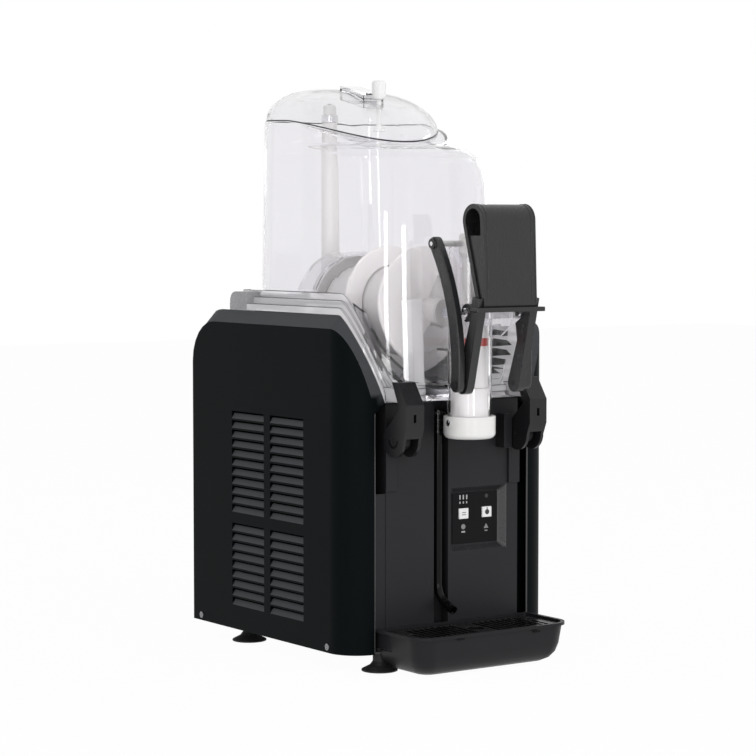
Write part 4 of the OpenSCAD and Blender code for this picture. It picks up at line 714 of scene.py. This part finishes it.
nose = spiral_ribbon(NOSE_INNER, SPIRAL_FRONT, START, NOSE_TURN)
for vert in nose.verts:
    offset = Vector((vert.co.x, 0, vert.co.z - AXIS.z))
    fade = min(1.0, max(0.0, 1 - (vert.co.y - SPIRAL_FRONT) / TIP_RUN))
    vert.co -= offset.normalized() * TIP_DRAW * fade * (offset.length - NOSE_INNER) / (SPIRAL_R - NOSE_INNER)
ribbon = spiral_ribbon(RIBBON_INNER, SPIRAL_FRONT + PITCH * NOSE_TURN / (2 * math.pi), START - NOSE_TURN,
                       ALL_TURN - NOSE_TURN)
hub = cylinder(AXIS + Vector((0, HUB_Y, 0)), HUB_R, HUB_LENGTH, 72, "X")
round_off(hub, sharp_edges(hub), HUB_ROUND, 3)
spiral = piece_from("auger_spiral", [nose, ribbon, hub], "auger_plastic", "auger", "white_plastic")
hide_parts("auger")
print("spiral faces", len(spiral.data.polygons))

# %% [markdown]
# The control plate has printed marks: a small level scale over the left button, a lamp window over the right
# one and a sign under each. They are thin raised bars and discs, because at this size a print is only a shape.
# The signs on the buttons ride on the buttons, so that they move when these are pressed.

# %% control marks
PLATE_Y = -0.096
FACE_Y = PLATE_Y - 0.0013
MARK_THICK = 0.0002
LEFT_X, RIGHT_X, SIGN_X, BUTTON_Z = 0.018, 0.048, 0.0476, 0.1525
SCALE_STEP = 0.0043


def bar(shape, x, z, w, h, y, thick=MARK_THICK):
    place = Matrix.Translation((x, y, z)) @ Matrix.Diagonal((w, thick, h, 1))
    made = bmesh.ops.create_cube(shape, size=1, matrix=place)
    rim = [e for e in {e for v in made["verts"] for e in v.link_edges}
           if abs(e.verts[0].co.y - e.verts[1].co.y) > thick / 2]
    round_off(shape, rim, min(w, h) * 0.3, 3)


def bars(rows, y, thick=MARK_THICK):
    shape = bmesh.new()
    for x, z, w, h in rows:
        bar(shape, x, z, w, h, y, thick)
    return shape


def disc(x, z, r, y, segments=32):
    return cylinder((x, y, z), r, MARK_THICK, segments, "X")


level_scale = [(LEFT_X + column * SCALE_STEP, z, w, h) for column in (-1, 0, 1)
               for z, w, h in ((0.1695, 0.0016, 0.0048), (0.1640, 0.0015, 0.0024))]
white_marks = [bars(level_scale + [(LEFT_X, 0.1335, 0.0048, 0.0015)], PLATE_Y)]
grey_marks = [disc(LEFT_X, 0.1388, 0.0027, PLATE_Y), disc(SIGN_X, 0.1372, 0.0034, PLATE_Y, segments=3),
              bars([(SIGN_X, 0.1330, 0.0040, 0.0012)], PLATE_Y)]
lamp_window = [disc(RIGHT_X, 0.1692, 0.0021, PLATE_Y)]
left_sign = [bars([(LEFT_X, BUTTON_Z + step * 0.0011, 0.0052, 0.0009) for step in (-1, 1)], FACE_Y)]
right_sign = [disc(RIGHT_X, BUTTON_Z, 0.0027, FACE_Y), bars([(RIGHT_X, 0.1562, 0.0010, 0.0022)], FACE_Y)]
piece_from("plate_marks_white", white_marks, "mark_white", "base", "white_plastic")
piece_from("plate_marks_grey", grey_marks, "mark_grey", "base", "white_plastic")
piece_from("plate_lamp_window", lamp_window, "dark_marks_and_recess_shade", "base", "black_plastic")
piece_from("button_sign_left", left_sign, "mark_grey", "button_left", "black_plastic")
piece_from("button_sign_right", right_sign, "dark_marks_and_recess_shade", "button_right", "black_plastic")
print("bars of the level scale", len(level_scale))

# %% [markdown]
# Small screws hold the side panels and the spout's collar. A pan head is a short turned profile with a
# cross-shaped recess, whose shade is painted on as two dark bars. It is made once for a head that looks along
# +X, and each copy is turned and moved in the mesh, so the object itself stays at the origin. The collar's
# screw sits on its left side, where the photograph shows it.

# %% screw heads
CROSS_TURN = 0.4
PANEL_SCREW_X, PANEL_SCREW_YS, PANEL_SCREW_Z = 0.130, (-0.0646, 0.1822), 0.024
COLLAR_SCREW = (-0.0263, -0.130, 0.2505)


def pan_head(radius, height, place):
    shape = bmesh.new()
    line = [(0.0, radius), (height * 0.45, radius * 0.96), (height * 0.8, radius * 0.72),
            (height, radius * 0.3), (height, 0.0)]
    row = [shape.verts.new((x, 0, r)) for x, r in line]
    edges = [shape.edges.new(pair) for pair in zip(row, row[1:])]
    bmesh.ops.spin(shape, geom=row + edges, cent=(0, 0, 0), axis=(1, 0, 0), angle=2 * math.pi, steps=28,
                   use_merge=True)
    bmesh.ops.remove_doubles(shape, verts=shape.verts, dist=1e-6)
    bmesh.ops.recalc_face_normals(shape, faces=shape.faces)
    for turn in (0, math.pi / 2):
        cut = (Matrix.Rotation(turn + CROSS_TURN, 4, "X") @ Matrix.Translation((height * 0.83, 0, 0))
               @ Matrix.Diagonal((height * 0.32, radius * 0.2, radius * 1.05, 1)))
        made = bmesh.ops.create_cube(shape, size=1, matrix=cut)
        # The recess bars get the second finish, dark as painted shade
        for face in {f for v in made["verts"] for f in v.link_faces}:
            face.material_index = 1
    bmesh.ops.transform(shape, matrix=place, verts=shape.verts)
    return shape


def outward(side, place):
    turn = Matrix.Rotation(math.pi, 4, "Z") if side < 0 else Matrix.Identity(4)
    return Matrix.Translation(place) @ turn


def metal_heads(name, heads, finish, body):
    piece = piece_from(name, heads, finish, body, "bright_steel")
    piece.data.materials.append(FINISH["dark_marks_and_recess_shade"])
    return piece


heads = [pan_head(0.0036, 0.0016, outward(side, (side * PANEL_SCREW_X, y, PANEL_SCREW_Z)))
         for y in PANEL_SCREW_YS for side in (-1, 1)]
panel_heads = metal_heads("side_panel_screw_heads", heads, "dark_steel", "base")
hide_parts("panel_screws")
collar_head = pan_head(0.0034, 0.0016, outward(-1, COLLAR_SCREW))
metal_heads("collar_screw_head", [collar_head], "chrome", "base")
print("screw heads", len(heads) + 1)

# %% [markdown]
# Ribs, seals and hems are thin tubes along a line. A section could be extruded step by step, but a poly curve
# with a round bevel keeps the tube round at every bend. The curve is turned into a mesh at once, so that the
# piece is a plain mesh like the others.

# %% tubes along a line


def tube_along(name, lines, radius, finish, body, slot, cyclic=False, roundness=2):
    curve = bpy.data.curves.new(name, "CURVE")
    curve.dimensions = "3D"
    curve.bevel_depth = radius
    curve.bevel_resolution = roundness
    curve.use_fill_caps = not cyclic
    for points in lines:
        spline = curve.splines.new("POLY")
        spline.points.add(len(points) - 1)
        for point, place in zip(spline.points, points):
            point.co = (*place, 1)
        spline.use_cyclic_u = cyclic
    helper = bpy.data.objects.new(name + "_line", curve)
    mesh = bpy.data.meshes.new_from_object(helper)
    bpy.data.objects.remove(helper)
    mesh.name = name
    mesh.materials.clear()
    mesh.materials.append(FINISH[finish])
    for face in mesh.polygons:
        face.use_smooth = True
    piece = bpy.data.objects.new(name, mesh)
    scene.collection.objects.link(piece)
    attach(piece, body)


print("tube helper", tube_along.__name__)

# %% [markdown]
# The grip is a strap that is rolled over at the top. Raised ribs run along both its edges. A rib follows the
# strap's side view, which is two circles and their common tangents, so its points come from the two centres
# and radii instead of being typed one by one.

# %% ribs of the grip
TOP, TOP_R = Vector((-0.178, 0.454)), 0.016
FOOT, FOOT_R = Vector((-0.191, 0.372)), 0.006
RIB_INSET = 0.0002
RIBS = {"edge_left": (-0.0322, 0.0009), "edge_right": (0.0322, 0.0009),
        "inner_left": (-0.0275, 0.0007), "inner_right": (0.0275, 0.0007)}


def strap_line(inset, steps=26):
    along = TOP - FOOT
    lean = math.atan2(along.y, along.x)
    swing = math.acos((FOOT_R - TOP_R) / along.length)
    front, back = lean + swing, lean - swing

    def on_circle(centre, radius, angle):
        return centre + (radius - inset) * Vector((math.cos(angle), math.sin(angle)))

    roll = [on_circle(TOP, TOP_R, front + (back - front) * i / steps) for i in range(steps + 1)]
    return [on_circle(FOOT, FOOT_R, front), *roll, on_circle(FOOT, FOOT_R, back)]


for label, (x, radius) in RIBS.items():
    line = [(x, p.x, p.y) for p in strap_line(RIB_INSET)]
    tube_along("grip_rib_" + label, [line], radius, "lever_plastic", "lever", "dark_plastic")
print("grip ribs", len(RIBS))

# %% [markdown]
# Below the finger hole the strap's two layers are joined by a web. It fills the strap's side view up to a set
# height, so four points of the strap's inner line are enough. The face between them is drawn out to the
# strap's width, and its upper edges are rounded.

# %% web of the grip
WEB_INSET, WEB_HALF, WEB_TOP = 0.0028, 0.0312, 0.4395
WEB_ROUND, ROUND_ABOVE = 0.0012, 0.43


def flat_face(points):
    shape = bmesh.new()
    corners = [shape.verts.new(point) for point in points]
    shape.faces.new(corners)
    return shape, corners


def draw_out(shape, vec):
    grown = bmesh.ops.extrude_face_region(shape, geom=shape.faces[:])
    moved = [v for v in grown["geom"] if isinstance(v, bmesh.types.BMVert)]
    bmesh.ops.translate(shape, vec=vec, verts=moved)
    bmesh.ops.recalc_face_normals(shape, faces=shape.faces)


def at_height(a, b, z):
    return a + (b - a) * (z - a.y) / (b.y - a.y)


inner = strap_line(WEB_INSET)
front_top = at_height(inner[0], inner[1], WEB_TOP)
back_top = at_height(inner[-1], inner[-2], WEB_TOP)
outline = [inner[0], front_top, back_top, inner[-1]]
web, corners = flat_face([(-WEB_HALF, p.x, p.y) for p in outline])
draw_out(web, (2 * WEB_HALF, 0, 0))
upper = [e for e in web.edges if min(v.co.z for v in e.verts) > ROUND_ABOVE]
round_off(web, upper, WEB_ROUND, 3)
piece_from("grip_web", [web], "lever_plastic", "lever", "dark_plastic")
print("grip web", len(corners), "corners, rounded edges", len(upper))

# %% [markdown]
# The lid's lower edge shows as one thin dark line, because it carries a seal. It follows the plan of the lid,
# an outline with round corners. Seen from the side that edge is level at the rear and falls in an arc to the
# front.

# %% lid seal
EDGE_LEVEL, LEVEL_Y, RUN, DIP = 0.5596, 0.098, 0.112, 0.024
FALL_R = (RUN ** 2 + DIP ** 2) / (2 * DIP)
SEAL_RISE, SEAL_R = 0.0008, 0.0007


def rounded_plan(half, front, rear, front_r, rear_r, steps=14):
    points = []
    for cx, cy, r, start in ((front_r - half, front + front_r, front_r, 180),
                             (half - front_r, front + front_r, front_r, 270),
                             (half - rear_r, rear - rear_r, rear_r, 0),
                             (rear_r - half, rear - rear_r, rear_r, 90)):
        angles = [math.radians(start + 90 * i / steps) for i in range(steps + 1)]
        points += [(cx + r * math.cos(a), cy + r * math.sin(a)) for a in angles]
    return points


def lid_edge(y):
    return EDGE_LEVEL - FALL_R + math.sqrt(FALL_R ** 2 - min(RUN, max(0.0, LEVEL_Y - y)) ** 2)


seal_plan = rounded_plan(half=0.0874, front=-0.0134, rear=0.1424, front_r=0.0854, rear_r=0.0394)
seal_line = [(x, y, lid_edge(y) + SEAL_RISE) for x, y in seal_plan]
tube_along("lid_seal", [seal_line], SEAL_R, "dark_marks_and_recess_shade", "lid", "black_plastic", cyclic=True)
print("lid seal points", len(seal_line))

# %% [markdown]
# Each side panel's front edge is folded back to a narrow hem. Its paint is lighter than the panel's, a painted
# highlight for the thin upright line of light along the fold.
# Under the left latch the front panel runs on to that hem as a lip. The lip is a small section that is drawn
# upwards, and the hems are round tubes along the fold.

# %% hems and lip of the front
SIDES = (("left", -1), ("right", 1))
HEM_X, HEM_Y, HEM_R, HEM_HEIGHTS = 0.0971, -0.1011, 0.0011, (0.019, 0.140, 0.261)
LIP_BOTTOM, LIP_HEIGHT = 0.0405, 0.1395
LIP_SECTION = [(-0.0962, -0.0996), (-0.0962, -0.1010), (-0.0957, -0.1015), (-0.0838, -0.1015),
               (-0.0838, -0.0996)]
for label, side in SIDES:
    fold = [(side * HEM_X, HEM_Y, z) for z in HEM_HEIGHTS]
    tube_along("side_panel_hem_" + label, [fold], HEM_R, "painted_hem_highlight", "base", "black_panel")
lip, corners = flat_face([(x, y, LIP_BOTTOM) for x, y in LIP_SECTION])
draw_out(lip, (0, 0, LIP_HEIGHT))
piece_from("front_panel_lip", [lip], "front_plastic", "base", "dark_plastic")
print("hems 2, lip", len(corners), "corners")

# %% [markdown]
# The edges of the ledge's steps look like fine dark lines, because a moulded edge bends the light away from
# the eye. The sharp edges of the bowl's copy already run where these lines are, so each becomes a very thin
# tube.

# %% lines of the ledge
STEP_ANGLE, LINE_R = 0.9, 0.00024
copy = bmesh.new()
copy.from_mesh(soft_pieces["bowl"].data)
step_edges = [[tuple(v.co) for v in e.verts] for e in copy.edges
              if e.calc_face_angle(0) > STEP_ANGLE and all(on_ledge(v.co) for v in e.verts)]
copy.free()
tube_along("ledge_edge_lines", step_edges, LINE_R, "edge_grey", "base", "clear_plastic", roundness=0)
print("ledge edges", len(step_edges))

# %% [markdown]
# The clear ledge ends at the rear in a grey cap on each side. Its side view is a rectangle with one round
# corner, so four points with one bevelled vertex are enough, drawn out to the ledge's width.

# %% caps of the ledge
CAP_OUTER, CAP_INNER = 0.1184, 0.1010
CAP_FRONT, CAP_REAR, CAP_BOTTOM, CAP_TOP = 0.1060, 0.1403, 0.3597, 0.3786
CAP_CORNER, CAP_ROUND = 0.010, 0.0012
for label, side in SIDES:
    cap, corners = flat_face([(side * CAP_OUTER, y, z) for y, z in (
        (CAP_FRONT, CAP_BOTTOM), (CAP_FRONT, CAP_TOP), (CAP_REAR, CAP_TOP), (CAP_REAR, CAP_BOTTOM))])
    round_off(cap, [corners[2]], CAP_CORNER, 7, affect="VERTICES")
    draw_out(cap, (side * (CAP_INNER - CAP_OUTER), 0, 0))
    round_off(cap, sharp_edges(cap), CAP_ROUND, 2)
    piece_from("ledge_end_cap_" + label, [cap], "cap_grey", "base", "dark_plastic")
print("ledge caps 2")

# %% [markdown]
# Behind the louvres sits a dark felt mat in a thin frame, painted shade for the dark inside of the machine, so
# nobody sees through the slots into it. The mat is a flat slab whose middle is pressed in a little by an inset.

# %% shade mats behind the louvres
SHADE_MAT_X, SHADE_MAT_Y, SHADE_MAT_Z = 0.1238, 0.0485, 0.148
SHADE_MAT_LENGTH, SHADE_MAT_HEIGHT = 0.163, 0.219
FRAME_WIDTH, FRAME_STEP, FELT_THICK = 0.004, 0.0006, 0.0008
# Each mat is painted shade behind one side's louvres
for label, side in SIDES:
    mat = bmesh.new()
    place = (Matrix.Translation((side * SHADE_MAT_X, SHADE_MAT_Y, SHADE_MAT_Z))
             @ Matrix.Diagonal((1, SHADE_MAT_LENGTH, SHADE_MAT_HEIGHT, 1))
             @ Matrix.Rotation(side * math.pi / 2, 4, "Y"))
    bmesh.ops.create_grid(mat, x_segments=1, y_segments=1, size=0.5, matrix=place)
    bmesh.ops.inset_region(mat, faces=mat.faces[:], thickness=FRAME_WIDTH, depth=-FRAME_STEP)
    bmesh.ops.solidify(mat, geom=mat.faces[:], thickness=FELT_THICK)
    bmesh.ops.recalc_face_normals(mat, faces=mat.faces)
    piece_from("louvre_shade_mat_" + label, [mat], "painted_shade_felt", "base", "black_plastic")
print("dust filters 2")

# %% [markdown]
# The tap's cross pin ends on each side in a dark washer with a bright pin in it. A washer could be a ring, but
# the pin fills its hole, so a cylinder with bevelled edges is enough. Both ride on the piston, so they rise
# with it when the lever is pulled.

# %% ends of the cross pin
PIN_Y, PIN_Z = -0.130, 0.431
WASHER_X, WASHER_R, WASHER_THICK, WASHER_ROUND = 0.04755, 0.0053, 0.0016, 0.0005
PIN_TIP_X, PIN_TIP_R, PIN_TIP_HEIGHT = 0.0483, 0.0023, 0.0007
for label, side in SIDES:
    washer = cylinder((side * WASHER_X, PIN_Y, PIN_Z), WASHER_R, WASHER_THICK, 40, "Y")
    round_off(washer, sharp_edges(washer), WASHER_ROUND, 2)
    piece_from("cross_pin_washer_" + label, [washer], "lever_plastic", "piston", "dark_plastic")
    tip = pan_head(PIN_TIP_R, PIN_TIP_HEIGHT, outward(side, (side * PIN_TIP_X, PIN_Y, PIN_Z)))
    metal_heads("cross_pin_tip_" + label, [tip], "chrome", "piston")
print("washers and tips 2 each")

# %% [markdown]
# A curved slot runs round each latch's pin. It is drawn as a thin dark band at the face, painted shade in place
# of a cut: a small square section that is spun by a little more than half a turn, and then turned so that its
# middle is where the slot's middle is.

# %% latch slots
LATCH_PIN = Vector((0, -0.122, 0.235))
SLOT_X, SLOT_DEPTH, SLOT_INNER, SLOT_OUTER = 0.0891, 0.0006, 0.0055, 0.0080
SLOT_TURN = 190
for label, side in SIDES:
    section = ((0, SLOT_INNER), (0, SLOT_OUTER), (SLOT_DEPTH, SLOT_OUTER), (SLOT_DEPTH, SLOT_INNER))
    groove, ring = flat_face([(side * (SLOT_X - t), LATCH_PIN.y, LATCH_PIN.z - r) for t, r in section])
    bmesh.ops.spin(groove, geom=groove.faces[:] + groove.edges[:] + ring, cent=LATCH_PIN, axis=(1, 0, 0),
                   angle=math.radians(SLOT_TURN), steps=24)
    bmesh.ops.rotate(groove, cent=LATCH_PIN, matrix=Matrix.Rotation(math.radians(-SLOT_TURN / 2), 3, "X"),
                     verts=groove.verts)
    bmesh.ops.recalc_face_normals(groove, faces=groove.faces)
    piece_from("latch_slot_" + label, [groove], "plate_black_and_slot_shade", "latch_" + label, "black_plastic")
print("latch slots 2")

# %% [markdown]
# Two drain slots show in the tray's front, and a little screw sits on top of the lamp post. The slots are dark
# bars like the control marks, painted shade for the openings, and the screw is one more pan head that looks up.

# %% tray slots and post screw
TRAY_FRONT_Y, TRAY_SLOT_THICK = -0.1783, 0.0008
TRAY_SLOTS = [(-0.0462, 0.0397, 0.0085, 0.0017), (0.0494, 0.0381, 0.0085, 0.0017)]
POST_TOP = (0, 0.124, 0.5818)
tray_slots = bars(TRAY_SLOTS, TRAY_FRONT_Y, TRAY_SLOT_THICK)
piece_from("tray_front_slots", [tray_slots], "plate_black_and_slot_shade", "drip_tray", "black_plastic")
upright = Matrix.Translation(POST_TOP) @ Matrix.Rotation(-math.pi / 2, 4, "Y")
metal_heads("post_cap_screw", [pan_head(0.0026, 0.0012, upright)], "dark_steel", "base")
print("tray slots", len(TRAY_SLOTS), "and the post's screw")
